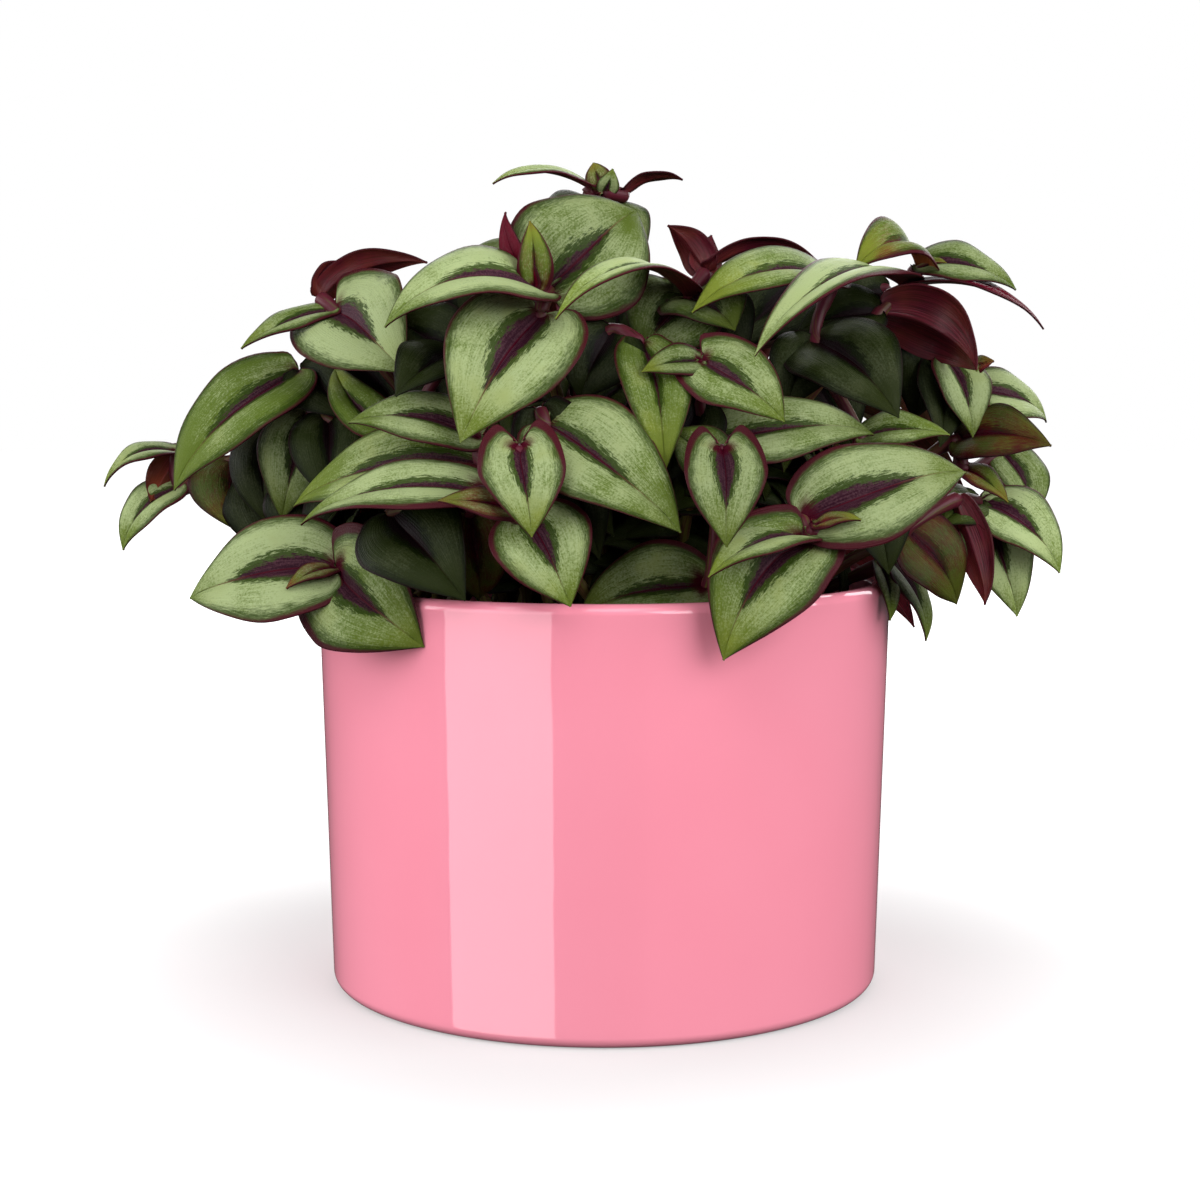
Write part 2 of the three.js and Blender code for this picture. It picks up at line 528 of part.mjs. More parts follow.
// Each leaf takes the first bend that clears the pot, the soil, the other stems and the leaves before it.
function growLeaves(stems, holders) {
  const blades = [];
  for (const stem of stems) {
    stem.blades = [];
    for (const leaf of stem.leaves) {
      const obstacles = [...holders];
      for (const other of stems) if (other !== stem) obstacles.push(other.shell);
      for (const blade of blades) obstacles.push(blade.stem === stem ? blade.part : blade.whole);
      let best = { overlap: Infinity };
      for (const bend of BENDS) {
        const turnedLeaf = bent(leaf, bend);
        const whole = bladeSolid(turnedLeaf, ROOM.thick);
        const overlap = overlapWith(whole, obstacles);
        if (overlap < best.overlap) best = { overlap, bend, leaf: turnedLeaf };
        if (overlap < ROOM.overlap) break;
      }
      if (stem.optional && best.overlap > ROOM.overlap) continue;
      stem.blades.push({ ...best, solid: bladeSolid(best.leaf, BLADE.thick) });
      const part = bladeSolid(best.leaf, BLADE.thick, ROOM.siblingFrom);
      blades.push({ stem, part, whole: bladeSolid(best.leaf, BLADE.thick) });
    }
  }
}

// Stems whose leaves still cross are one body.
function gather(stems) {
  const groups = [];
  for (const stem of stems) {
    const leaves = stem.blades.map((blade) => blade.solid);
    const group = { name: stem.name, body: fused([stem.shell, ...leaves]) };
    for (const other of groups.filter((one) => shared(one.body, group.body) > ROOM.touch)) {
      group.name = other.name;
      group.body = group.body.add(other.body);
      groups.splice(groups.indexOf(other), 1);
    }
    groups.push(group);
  }
  return groups;
}

// ---- Scene --------------------------------------------------------------------------------------------

const GLAZE = new THREE.MeshStandardMaterial({ color: 0xf990ab, roughness: 0.12, metalness: 0 });
const EARTH = new THREE.MeshStandardMaterial({ color: 0x3a2a20, roughness: 0.95, metalness: 0 });
const FOLIAGE = new THREE.MeshStandardMaterial({ color: 0x6f8a58, roughness: 0.5, metalness: 0 });

function node(name, shell, material) {
  const geometry = geometryOf(withoutSlivers(shell));
  geometry.computeVertexNormals();
  const mesh = new THREE.Mesh(geometry, material);
  mesh.name = name;
  return mesh;
}

const draw = seededDraw(BACK.seed);
const stems = FRONT_STEMS.map(frontStem);
for (const ring of BACK_RINGS) {
  for (let number = 0; number < ring.count; number += 1) stems.push(backStem(ring, number, draw));
}
const pot = potSolid();
growStems(stems, pot);
const soil = soilSolid(stems.map((stem) => stem.root));
growLeaves(stems, [pot, soil]);

const plant = new THREE.Group();
plant.add(node("pot", pot, GLAZE));
plant.add(node("soil", soil, EARTH));
for (const group of gather(stems)) plant.add(node(group.name, group.body, FOLIAGE));

export default plant;
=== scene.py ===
"""A potted tradescantia: a glazed pink cylinder pot, the soil in it, and the leafy stems that grow from it.

Sizes are in millimetres and degrees until a mesh is made. The origin is the centre of the pot's underside,
+Z is up and the plant's front faces -Y.
"""

import logging
import math
import random
from collections import Counter
from collections.abc import Callable, Iterator
from dataclasses import dataclass, field, replace
from enum import Enum

import bmesh
import bpy
from mathutils import Matrix, Vector, kdtree, noise


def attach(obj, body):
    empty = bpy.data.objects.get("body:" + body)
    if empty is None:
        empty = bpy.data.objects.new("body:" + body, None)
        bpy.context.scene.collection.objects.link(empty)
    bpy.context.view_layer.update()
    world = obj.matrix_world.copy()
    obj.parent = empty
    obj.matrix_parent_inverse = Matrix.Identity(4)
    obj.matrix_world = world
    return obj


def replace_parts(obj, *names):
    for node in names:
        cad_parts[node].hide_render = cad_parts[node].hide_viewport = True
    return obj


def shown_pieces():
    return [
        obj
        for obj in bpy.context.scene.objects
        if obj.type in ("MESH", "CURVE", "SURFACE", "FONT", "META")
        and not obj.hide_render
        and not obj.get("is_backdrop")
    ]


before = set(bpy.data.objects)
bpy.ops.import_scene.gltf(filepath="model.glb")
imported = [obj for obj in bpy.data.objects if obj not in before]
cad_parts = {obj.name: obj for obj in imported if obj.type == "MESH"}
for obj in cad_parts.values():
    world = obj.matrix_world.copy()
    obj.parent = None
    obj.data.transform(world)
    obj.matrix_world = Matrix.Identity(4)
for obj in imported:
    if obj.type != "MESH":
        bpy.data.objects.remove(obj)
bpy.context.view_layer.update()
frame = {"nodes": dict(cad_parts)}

LOG = logging.getLogger("plant")
MM = 0.001
WELD = 1e-6
UP = Vector((0.0, 0.0, 1.0))
SOIL_LEVEL = 91.0

Socket = bpy.types.NodeSocket
Material = bpy.types.Material
Mesh = bmesh.types.BMesh
Colour = tuple[float, float, float]
WHITE: Colour = (1.0, 1.0, 1.0)


# ---- Places and directions ---------------------------------------------------------------------------


def lerp(start: float, end: float, share: float) -> float:
    """The number at a share of the way from start to end."""
    return (1.0 - share) * start + share * end


def clamped(value: float, low: float = 0.0, high: float = 1.0) -> float:
    """The value, held between low and high."""
    return max(low, min(high, value))


def eased(share: float) -> float:
    """A share of the way, which goes slower near both ends."""
    return 0.5 - 0.5 * math.cos(math.pi * share)


def bow(share: float) -> float:
    """How far a bow stands out at a share of its length, from 0 at its ends to 1 in its middle."""
    return 4 * share * (1 - share)


def facing(turned: float, raised: float) -> Vector:
    """A direction turned round from the front, to the viewer's right, and raised above the horizon."""
    a, e = math.radians(turned), math.radians(raised)
    return Vector((math.sin(a) * math.cos(e), -math.cos(a) * math.cos(e), math.sin(e)))


@dataclass(frozen=True)
class Viewpoint:
    """Where the plant is seen from, over a view of 1200 by 1200."""

    distance: float = 585.5
    height: float = 159.5
    aside: float = -1.14
    tilt: float = 5.794
    focal: float = 2223.7
    frame: float = 1200.0
    sensor: float = 36.0
    clip: tuple[float, float] = (0.05, 50.0)

    def place(self) -> Vector:
        """The eye's place."""
        return Vector((self.aside, -self.distance, self.height))

    def seen(self, across: float, down: float, ahead: float) -> Vector:
        """The point seen at a place in the view.

        Args:
            across: How far across the view it is seen.
            down: How far down the view it is seen.
            ahead: How far it lies ahead of the pot's axis.

        Returns:
            The point.
        """
        tilt = math.radians(self.tilt)
        right = (across - self.frame / 2) / self.focal
        up = (self.frame / 2 - down) / self.focal
        ray = Vector((right, math.cos(tilt) + up * math.sin(tilt), up * math.cos(tilt) - math.sin(tilt)))
        return ray * ((self.distance - ahead) / ray.y) + self.place()

    def set_camera(self) -> None:
        """Makes the camera and gives it to the scene."""
        data = bpy.data.cameras.new("camera")
        data.sensor_width = self.sensor
        data.lens = self.focal / self.frame * self.sensor
        data.clip_start, data.clip_end = self.clip
        camera = bpy.data.objects.new("camera", data)
        camera.location = self.place() * MM
        camera.rotation_euler = (math.radians(90.0 - self.tilt), 0.0, 0.0)
        bpy.context.collection.objects.link(camera)
        bpy.context.scene.camera = camera


VIEW = Viewpoint()


class Draw:
    """A repeatable draw from 0 to 1, the same as the one that the rings of stems were laid out with."""

    factor = 1664525
    step = 1013904223
    span = 1 << 32

    def __init__(self, seed: int) -> None:
        """Starts the draw from a seed."""
        self.state = seed

    def __call__(self) -> float:
        """The next number."""
        self.state = (self.state * self.factor + self.step) % self.span
        return self.state / self.span


class Spline:
    """A smooth curve through points, with its speed evened out between near and far ones."""

    def __init__(self, points: list[Vector]) -> None:
        """Keeps the points, with one more past each end.

        Args:
            points: Two points or more.
        """
        before = points[0] * 2 - points[1]
        after = points[-1] * 2 - points[-2]
        self.points = [before, *points, after]
        self.spans = len(points) - 1

    def at(self, share: float) -> Vector:
        """The point at a share of the way, each span counting the same.

        Args:
            share: From 0 at the first point to 1 at the last.

        Returns:
            The point on the curve.
        """
        place = clamped(share) * self.spans
        span = min(int(place), self.spans - 1)
        t = place - span
        p0, p1, p2, p3 = self.points[span:span + 4]
        gaps = [math.sqrt((b - a).length) or 1.0 for a, b in ((p0, p1), (p1, p2), (p2, p3))]
        start = ((p1 - p0) / gaps[0] - (p2 - p0) / (gaps[0] + gaps[1]) + (p2 - p1) / gaps[1]) * gaps[1]
        end = ((p2 - p1) / gaps[1] - (p3 - p1) / (gaps[1] + gaps[2]) + (p3 - p2) / gaps[2]) * gaps[1]
        square, cube = t * t, t * t * t
        return (p1 * (2 * cube - 3 * square + 1) + start * (cube - 2 * square + t)
                + p2 * (3 * square - 2 * cube) + end * (cube - square))


# ---- Meshes ------------------------------------------------------------------------------------------


def marked_mesh(marks: tuple[str, ...]) -> Mesh:
    """An empty mesh with a map and with numbers to keep on its points.

    Args:
        marks: The numbers' names.

    Returns:
        The mesh.
    """
    mesh = bmesh.new()
    mesh.loops.layers.uv.new("plan")
    for name in marks:
        mesh.verts.layers.float.new(name)
    return mesh


def lay_map(mesh: Mesh, shares: dict[bmesh.types.BMVert, tuple[float, float]]) -> None:
    """Gives the faces round some points their map.

    Args:
        mesh: A mesh that has a map.
        shares: Each point's place on the map.
    """
    plan = mesh.loops.layers.uv.verify()
    for one in {one for vert in shares for one in vert.link_faces}:
        for loop in one.loops:
            loop[plan].uv = shares[loop.vert]


def shown(mesh: Mesh, name: str, finishes: list[Material]) -> bpy.types.Object:
    """Puts a finished mesh into the scene as a piece that rides on the plant.

    Args:
        mesh: The mesh, in metres, which is freed.
        name: The piece's name.
        finishes: Its materials, in the order of its faces' indices.

    Returns:
        The piece.
    """
    data = bpy.data.meshes.new(name)
    mesh.to_mesh(data)
    mesh.free()
    for finish in finishes:
        data.materials.append(finish)
    data.shade_smooth()
    piece = bpy.data.objects.new(name, data)
    bpy.context.collection.objects.link(piece)
    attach(piece, "root")
    return piece


def spun(profile: list[tuple[float, float]], steps: int) -> Mesh:
    """A profile spun right round the upright axis.

    Args:
        profile: Points as (radius, height), from axis to axis.
        steps: How many steps the spin has.

    Returns:
        The closed mesh, in metres.
    """
    mesh = bmesh.new()
    verts = [mesh.verts.new((r * MM, 0.0, z * MM)) for r, z in profile]
    edges = [mesh.edges.new(pair) for pair in zip(verts, verts[1:])]
    bmesh.ops.spin(mesh, geom=verts + edges, axis=UP, cent=(0, 0, 0), angle=2 * math.pi, steps=steps,
                   use_merge=True)
    bmesh.ops.remove_doubles(mesh, verts=mesh.verts, dist=WELD)
    bmesh.ops.recalc_face_normals(mesh, faces=mesh.faces)
    return mesh


# ---- Finishes ----------------------------------------------------------------------------------------


class Brush:
    """Builds one material from procedural nodes."""

    def __init__(self, name: str) -> None:
        """Starts a material with a plain shader.

        Args:
            name: The material's name.
        """
        self.material = bpy.data.materials.new(name)
        self.material.use_nodes = True
        self.nodes = self.material.node_tree.nodes
        self.links = self.material.node_tree.links
        self.shader = self.nodes["Principled BSDF"]

    def feed(self, socket: Socket, value: Socket | float | Colour) -> None:
        """Links a value to a socket, or sets it there.

        Args:
            socket: The socket that takes it.
            value: Another node's result, a number or a colour.
        """
        if isinstance(value, bpy.types.NodeSocket):
            self.links.new(value, socket)
        elif isinstance(value, tuple) and len(socket.default_value) == 4:
            socket.default_value = (*value, 1.0)
        else:
            socket.default_value = value

    def feed_named(self, node: bpy.types.Node, **values: Socket | float | Colour) -> None:
        """Feeds several of a node's sockets.

        Args:
            node: The node.
            values: What each socket takes, under its name with _ for a space.
        """
        for name, value in values.items():
            self.feed(node.inputs[name.replace("_", " ")], value)

    def node(self, kind: str, *values: Socket | float, **settings: object) -> bpy.types.Node:
        """A new node.

        Args:
            kind: Its type, without the ShaderNode in front.
            values: What its first sockets take, in their order.
            settings: Its properties.

        Returns:
            The node.
        """
        made = self.nodes.new(f"ShaderNode{kind}")
        for name, value in settings.items():
            setattr(made, name, value)
        for socket, value in zip(made.inputs, values):
            self.feed(socket, value)
        return made

    def maths(self, operation: str, *values: Socket | float) -> Socket:
        """The result of a sum on one to three values."""
        return self.node("Math", *values, operation=operation).outputs[0]

    def times(self, first: Socket | float, second: Socket | float) -> Socket:
        """One value times another."""
        return self.maths("MULTIPLY", first, second)

    def plus(self, first: Socket | float, second: Socket | float) -> Socket:
        """One value plus another."""
        return self.maths("ADD", first, second)

    def nudged(self, value: Socket, grain: Socket, amount: float) -> Socket:
        """A value moved both ways by a grain that runs from 0 to 1."""
        return self.plus(value, self.maths("MULTIPLY_ADD", grain, 2 * amount, -amount))

    def fade(self, value: Socket, start: float, end: float, low: float = 0.0, high: float = 1.0) -> Socket:
        """A smooth step from low to high as the value goes from start to end."""
        made = self.node("MapRange", value, start, end, low, high, interpolation_type="SMOOTHSTEP")
        return made.outputs[0]

    def inside(self, value: Socket, limit: Socket, grain: Socket, amount: float,
               start: float, end: float) -> Socket:
        """How well a value that a grain moves keeps inside a limit."""
        return self.fade(self.maths("SUBTRACT", self.nudged(value, grain, amount), limit), start, end)

    def blend(self, share: Socket | float, first: Socket | Colour, second: Socket | Colour) -> Socket:
        """One colour laid over another.

        Args:
            share: How much of the second shows.
            first: The colour below.
            second: The colour on top.

        Returns:
            The mixed colour.
        """
        made = self.node("Mix", share, data_type="RGBA")
        self.feed(made.inputs[6], first)
        self.feed(made.inputs[7], second)
        return made.outputs[2]

    def grain(self, place: Socket, scale: float, detail: float = 2.0, roughness: float = 0.5) -> Socket:
        """Soft noise.

        Args:
            place: Where it is read.
            scale: How fine it is.
            detail: How many finer layers it has.
            roughness: How strong those layers are.

        Returns:
            A number from 0 to 1.
        """
        made = self.node("TexNoise")
        self.feed_named(made, Vector=place, Scale=scale, Detail=detail, Roughness=roughness)
        return made.outputs[0]

    def streaks(self, where: tuple[Socket, Socket, Socket], finer: tuple[float, float], scale: float,
                detail: float = 2.0, roughness: float = 0.5) -> Socket:
        """Soft noise that is drawn out along a piece.

        Args:
            where: How far along and across the piece it is read, and the number that sets the piece apart.
            finer: How much finer it is along and across.
            scale: How fine it is as a whole.
            detail: How many finer layers it has.
            roughness: How strong those layers are.

        Returns:
            A number from 0 to 1.
        """
        along, across, seed = where
        place = self.node("CombineXYZ", self.times(along, finer[0]), self.times(across, finer[1]), seed)
        return self.grain(place.outputs[0], scale, detail, roughness)

    def place(self) -> Socket:
        """Where the surface is on its object."""
        return self.node("TexCoord").outputs["Object"]

    def mark(self, name: str) -> Socket:
        """A number that is kept on the piece's points."""
        return self.node("Attribute", attribute_name=name).outputs["Fac"]

    def plan(self) -> tuple[Socket, Socket, Socket]:
        """How far along and across its piece a point is, and a number that sets the piece apart."""
        apart = self.node("SeparateXYZ", self.node("UVMap", uv_map="plan").outputs[0])
        return apart.outputs[0], apart.outputs[1], self.mark("seed")

    def blade_plan(self) -> tuple[Socket, Socket, Socket]:
        """The same for a leaf, with across from -1 at one side to 1 at the other."""
        along, across, seed = self.plan()
        return along, self.maths("MULTIPLY_ADD", across, 2.0, -1.0), seed

    def bump(self, height: Socket, distance: float, strength: float) -> None:
        """Gives the shader a fine relief.

        Args:
            height: How high the relief stands, from 0 to 1.
            distance: How far that is, in metres.
            strength: How much of it shows.
        """
        made = self.node("Bump")
        self.feed_named(made, Height=height, Distance=distance, Strength=strength)
        self.feed(self.shader.inputs["Normal"], made.outputs[0])

    def coat(self, **sockets: Socket | float | Colour) -> Material:
        """The material, once its shader's named sockets have taken what is given."""
        self.feed_named(self.shader, **sockets)
        return self.material


@dataclass(frozen=True)
class PinkGlaze:
    """A thick, glossy pink glaze that lies a little unevenly."""

    pink: Colour = (0.92, 0.302, 0.398)
    deeper: Colour = (0.91, 0.285, 0.378)
    roughness: float = 0.045
    shine: float = 0.6

    def dress(self) -> Material:
        """Makes the glaze.

        Returns:
            Its material.
        """
        brush = Brush("pink_glaze")
        place = brush.place()
        colour = brush.blend(brush.fade(brush.grain(place, 16.0, 3.0), 0.3, 0.75), self.pink, self.deeper)
        brush.bump(brush.grain(place, 26.0), 0.0006, 0.3)
        return brush.coat(Base_Color=colour, Roughness=self.roughness, Specular_IOR_Level=self.shine)


@dataclass(frozen=True)
class PottingSoil:
    """Dark, crumbly potting soil."""

    dark: Colour = (0.012, 0.008, 0.006)
    light: Colour = (0.055, 0.036, 0.024)
    roughness: float = 0.95

    def dress(self) -> Material:
        """Makes the soil's finish.

        Returns:
            Its material.
        """
        brush = Brush("potting_soil")
        crumbs = brush.grain(brush.place(), 420.0, 5.0, 0.7)
        brush.bump(crumbs, 0.002, 0.8)
        colour = brush.blend(brush.fade(crumbs, 0.35, 0.7), self.dark, self.light)
        return brush.coat(Base_Color=colour, Roughness=self.roughness)


@dataclass(frozen=True)
class LeafFace:
    """A leaf's upper face: silver green, with a purple band along the midrib and a maroon margin."""

    silver: Colour = (0.328, 0.386, 0.214)
    green: Colour = (0.098, 0.138, 0.036)
    sunny: Colour = (0.200, 0.232, 0.054)
    fringe: Colour = (0.022, 0.040, 0.006)
    purple: Colour = (0.024, 0.006, 0.013)
    dusky: Colour = (0.074, 0.034, 0.044)
    maroon: Colour = (0.052, 0.006, 0.013)
    margin: Colour = (0.056, 0.014, 0.018)
    rib: Colour = (0.190, 0.150, 0.070)
    ruddy: Colour = (0.130, 0.014, 0.026)
    saturation: float = 1.18
    roughness: tuple[float, float] = (0.34, 0.52)
    shine: float = 0.08

    def dress(self) -> Material:
        """Makes the upper face.

        Returns:
            Its material.
        """
        brush = Brush("leaf_upper")
        where = brush.blade_plan()
        along, signed, _ = where
        side = brush.maths("ABSOLUTE", signed)
        inward = brush.maths("SUBTRACT", 1.0, side)
        veins = brush.streaks(where, (2.0, 15.0), 2.4, 3.0, 0.6)
        strands = brush.streaks(where, (5.0, 34.0), 3.0, 2.0, 0.6)
        jags = brush.streaks(where, (7.0, 12.0), 2.4, 4.0, 0.75)
        ribs = brush.streaks(where, (1.0, 26.0), 2.0, 1.0)
        place = brush.place()
        mottle = brush.grain(place, 1900.0, 3.0, 0.65)
        clouds = brush.grain(place, 110.0)
        fine = brush.grain(place, 2600.0, 2.0, 0.6)

        # Silver lies over green, thinner towards the tip, where the green turns yellow in the sun.
        cover = brush.mark("silver")
        for grain, amount in ((veins, 0.6), (mottle, 0.85), (clouds, 0.7), (strands, 0.3)):
            cover = brush.nudged(cover, grain, amount)
        cover = brush.plus(cover, brush.fade(along, 0.62, 1.0, 0.12, -0.45))
        colour = brush.blend(brush.fade(cover, 0.0, 1.0), self.green, self.silver)
        sun = brush.plus(brush.fade(along, 0.45, 1.0), brush.fade(clouds, 0.5, 0.75))
        gold = brush.maths("MINIMUM", brush.times(brush.mark("gold"), sun), 0.85)
        colour = brush.blend(gold, colour, self.sunny)

        # The band along the midrib, with a dark green fringe outside it and a fine line in its middle.
        band = brush.times(brush.mark("band"), brush.fade(along, 0.2, 0.88, 0.25, -0.02))
        lane = brush.plus(band, brush.fade(along, 0.5, 0.9, 0.05, -0.2))
        colour = brush.blend(brush.times(brush.inside(side, lane, jags, 0.26, 0.11, 0.02), 0.92), colour,
                             self.fringe)
        purple = brush.blend(brush.fade(brush.plus(veins, mottle), 0.8, 1.3), self.purple, self.dusky)
        colour = brush.blend(brush.inside(side, band, jags, 0.17, 0.015, -0.035), colour, purple)
        line = brush.times(brush.fade(side, 0.035, 0.008), brush.fade(along, 0.9, 0.6))
        colour = brush.blend(line, colour, self.maroon)
        rib = brush.times(brush.fade(side, 0.045, 0.01), brush.fade(along, 0.5, 0.8))
        colour = brush.blend(brush.times(rib, 0.7), colour, self.rib)

        # The margin, with the same fringe inside it, a flush of red, and maroon round the root.
        blush = brush.times(brush.mark("blush"), brush.fade(along, 0.0, 0.5, 0.13, 0.05))
        colour = brush.blend(brush.times(brush.inside(inward, blush, jags, 0.24, 0.26, 0.02), 0.88), colour,
                             self.fringe)
        flush = brush.nudged(brush.nudged(brush.mark("ruddy"), strands, 0.5), clouds, 0.4)
        colour = brush.blend(brush.fade(flush, 0.25, 0.75), colour, self.ruddy)
        colour = brush.blend(brush.inside(inward, blush, jags, 0.06, 0.05, -0.03), colour, self.margin)
        root = brush.inside(along, brush.times(brush.mark("blush"), 0.07), jags, 0.06, 0.05, -0.03)
        colour = brush.blend(brush.times(root, brush.fade(side, 0.7, 0.25)), colour, self.maroon)

        # The light mark sets the colour's brightness: painted shade on leaves that hang in the shade of
        # others, and painted light where it is above 1.
        with_painted_light = brush.node("HueSaturation")
        brush.feed_named(with_painted_light, Color=colour, Saturation=self.saturation, Value=brush.mark("light"))
        relief = brush.plus(brush.times(mottle, 0.5), brush.times(fine, 0.4))
        brush.bump(brush.plus(brush.times(ribs, 0.7), relief), 0.0004, 0.6)
        rough = brush.fade(mottle, 0.3, 0.7, *self.roughness)
        return brush.coat(Base_Color=with_painted_light.outputs[0], Roughness=rough, Specular_IOR_Level=self.shine)


@dataclass(frozen=True)
class LeafBack:
    """A leaf's underside: glossy maroon, with painted amber light where light would come through."""

    deep: Colour = (0.042, 0.004, 0.009)
    red: Colour = (0.130, 0.010, 0.025)
    painted_backlight: Colour = (0.240, 0.060, 0.014)
    roughness: float = 0.32
    shine: float = 0.25

    def dress(self) -> Material:
        """Makes the underside.

        Returns:
            Its material.
        """
        brush = Brush("leaf_underside")
        veins = brush.streaks(brush.blade_plan(), (1.2, 12.0), 2.2, 3.0)
        # Painted light from behind: amber patches, as strong as the leaf's glow mark.
        lit = brush.times(brush.mark("glow"), brush.fade(brush.grain(brush.place(), 90.0), 0.3, 0.65))
        colour = brush.blend(brush.fade(veins, 0.3, 0.75), self.deep, self.red)
        colour = brush.blend(lit, colour, self.painted_backlight)
        brush.bump(veins, 0.0003, 0.5)
        return brush.coat(Base_Color=colour, Roughness=self.roughness, Specular_IOR_Level=self.shine)


@dataclass(frozen=True)
class StemSkin:
    """A stem's smooth skin: green to maroon, and streaked maroon on the sheaths below the leaves."""

    green: Colour = (0.085, 0.080, 0.014)
    maroon: Colour = (0.062, 0.007, 0.016)
    sheath: Colour = (0.085, 0.010, 0.020)
    roughness: float = 0.42
    shine: float = 0.18

    def dress(self) -> Material:
        """Makes the stems' finish.

        Returns:
            Its material.
        """
        brush = Brush("stem_skin")
        streaks = brush.streaks(brush.plan(), (3.0, 6.0), 3.0, 3.0)
        redness = brush.fade(brush.nudged(brush.mark("red"), streaks, 0.6), 0.1, 0.7)
        colour = brush.blend(redness, self.green, self.maroon)
        wrapped = brush.times(brush.mark("sheath"), brush.fade(streaks, 0.25, 0.6))
        colour = brush.blend(wrapped, colour, self.sheath)
        brush.bump(streaks, 0.0002, 0.5)
        return brush.coat(Base_Color=colour, Roughness=self.roughness, Specular_IOR_Level=self.shine)


# ---- Pot and soil ------------------------------------------------------------------------------------


@dataclass
class Pot:
    """The glazed cylinder pot."""

    rim_radius: float = 75.0
    foot_radius: float = 72.1
    height: float = 106.5
    wall: float = 5.0
    floor: float = 7.0
    foot_round: float = 3.0
    foot_inset: float = 1.0
    below_rim: float = 1.2
    levels: tuple[float, ...] = (4.2, 30.0, 60.0, 90.0)
    inner_steps: tuple[tuple[float, float], ...] = ((0.0, 60.0), (1.0, 10.0))
    floor_inset: float = 3.5
    steps: int = 192
    arcs: int = 10
    glaze: PinkGlaze = field(default_factory=PinkGlaze)

    def radius(self, z: float) -> float:
        """The outer wall's radius at a height."""
        return lerp(self.foot_radius, self.rim_radius, z / self.height)

    def profile(self) -> list[tuple[float, float]]:
        """The pot's outline.

        Returns:
            Its points, from the middle of the underside, round foot and rim, to the middle of the floor.
        """
        half, r = self.wall / 2, self.foot_round
        rim, crown = self.rim_radius - half, self.height - half
        points = [(0.0, 0.0), (self.foot_radius - r - self.foot_inset, 0.0)]
        for i in range(self.arcs + 1):
            turn = math.pi / 2 * i / self.arcs
            points.append((self.radius(r) - r + r * math.sin(turn), r - r * math.cos(turn)))
        points += [(self.radius(z), z) for z in (*self.levels, crown - self.below_rim)]
        for i in range(2 * self.arcs + 1):
            turn = math.pi * i / (2 * self.arcs)
            points.append((rim + half * math.cos(turn), crown + half * math.sin(turn)))
        inner = self.rim_radius - self.wall
        points.append((inner, crown - self.below_rim))
        points += [(inner - inset, z) for inset, z in (*self.inner_steps, (self.floor_inset, self.floor))]
        return [*points, (0.0, self.floor)]

    def build(self) -> None:
        """Makes the pot."""
        piece = shown(spun(self.profile(), self.steps), "glazed_pot", [self.glaze.dress()])
        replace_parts(piece, "pot")


@dataclass
class Soil:
    """The soil's uneven bed and the crumbs that lie on it."""

    radius: float = 69.6
    sides: tuple[tuple[float, float], ...] = ((4.5, 7.4), (1.2, 12.0), (0.0, 60.0))
    rings: int = 26
    steps: int = 96
    crust: float = 1.0
    lumps: float = 1.6
    lump_scales: tuple[float, float] = (0.11, 0.37)
    crumbs: int = 320
    crumb_seed: int = 5
    crumb_sizes: tuple[float, float] = (0.7, 2.2)
    crumb_inset: float = 4.0
    proud: float = 0.2
    tumble: float = 6.0
    flatness: tuple[tuple[float, float], ...] = ((0.5, 1.0), (0.4, 0.8))
    earth: PottingSoil = field(default_factory=PottingSoil)

    def surface(self, x: float, y: float) -> float:
        """The bed's height at a place."""
        coarse, fine = (noise.noise(Vector((x, y, 0.0)) * scale) for scale in self.lump_scales)
        return SOIL_LEVEL + self.lumps * (coarse + 0.5 * fine)

    def bed(self, earth: Material) -> None:
        """Makes the bed, which fills the pot from its floor.

        Args:
            earth: Its finish.
        """
        profile = [(0.0, self.sides[0][1]), *((self.radius - inset, z) for inset, z in self.sides)]
        profile += [(self.radius * (1 - i / self.rings), SOIL_LEVEL) for i in range(self.rings + 1)]
        mesh = spun(profile, self.steps)
        for vert in mesh.verts:
            if vert.co.z > (SOIL_LEVEL - self.crust) * MM:
                vert.co.z = self.surface(vert.co.x / MM, vert.co.y / MM) * MM
        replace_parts(shown(mesh, "soil_bed", [earth]), "soil")

    def scatter(self, earth: Material) -> None:
        """Makes the crumbs.

        Args:
            earth: Their finish.
        """
        draw = random.Random(self.crumb_seed)
        mesh = bmesh.new()
        for _ in range(self.crumbs):
            out = (self.radius - self.crumb_inset) * math.sqrt(draw.random())
            turn = 2 * math.pi * draw.random()
            x, y = out * math.cos(turn), out * math.sin(turn)
            size = lerp(*self.crumb_sizes, draw.random() ** 2)
            place = Matrix.Translation(Vector((x, y, self.surface(x, y) + self.proud * size)) * MM)
            axis_turn = draw.random() * self.tumble
            tumbled = Matrix.Rotation(axis_turn, 4, Vector((draw.random(), draw.random(), 1.0)))
            flat = Matrix.Diagonal((1.0, *(lerp(*span, draw.random()) for span in self.flatness), 1.0))
            bmesh.ops.create_icosphere(mesh, subdivisions=1, radius=size * MM, matrix=place @ tumbled @ flat)
        shown(mesh, "soil_crumbs", [earth])

    def build(self) -> None:
        """Makes the bed and its crumbs."""
        earth = self.earth.dress()
        self.bed(earth)
        self.scatter(earth)


# ---- Leaves ------------------------------------------------------------------------------------------


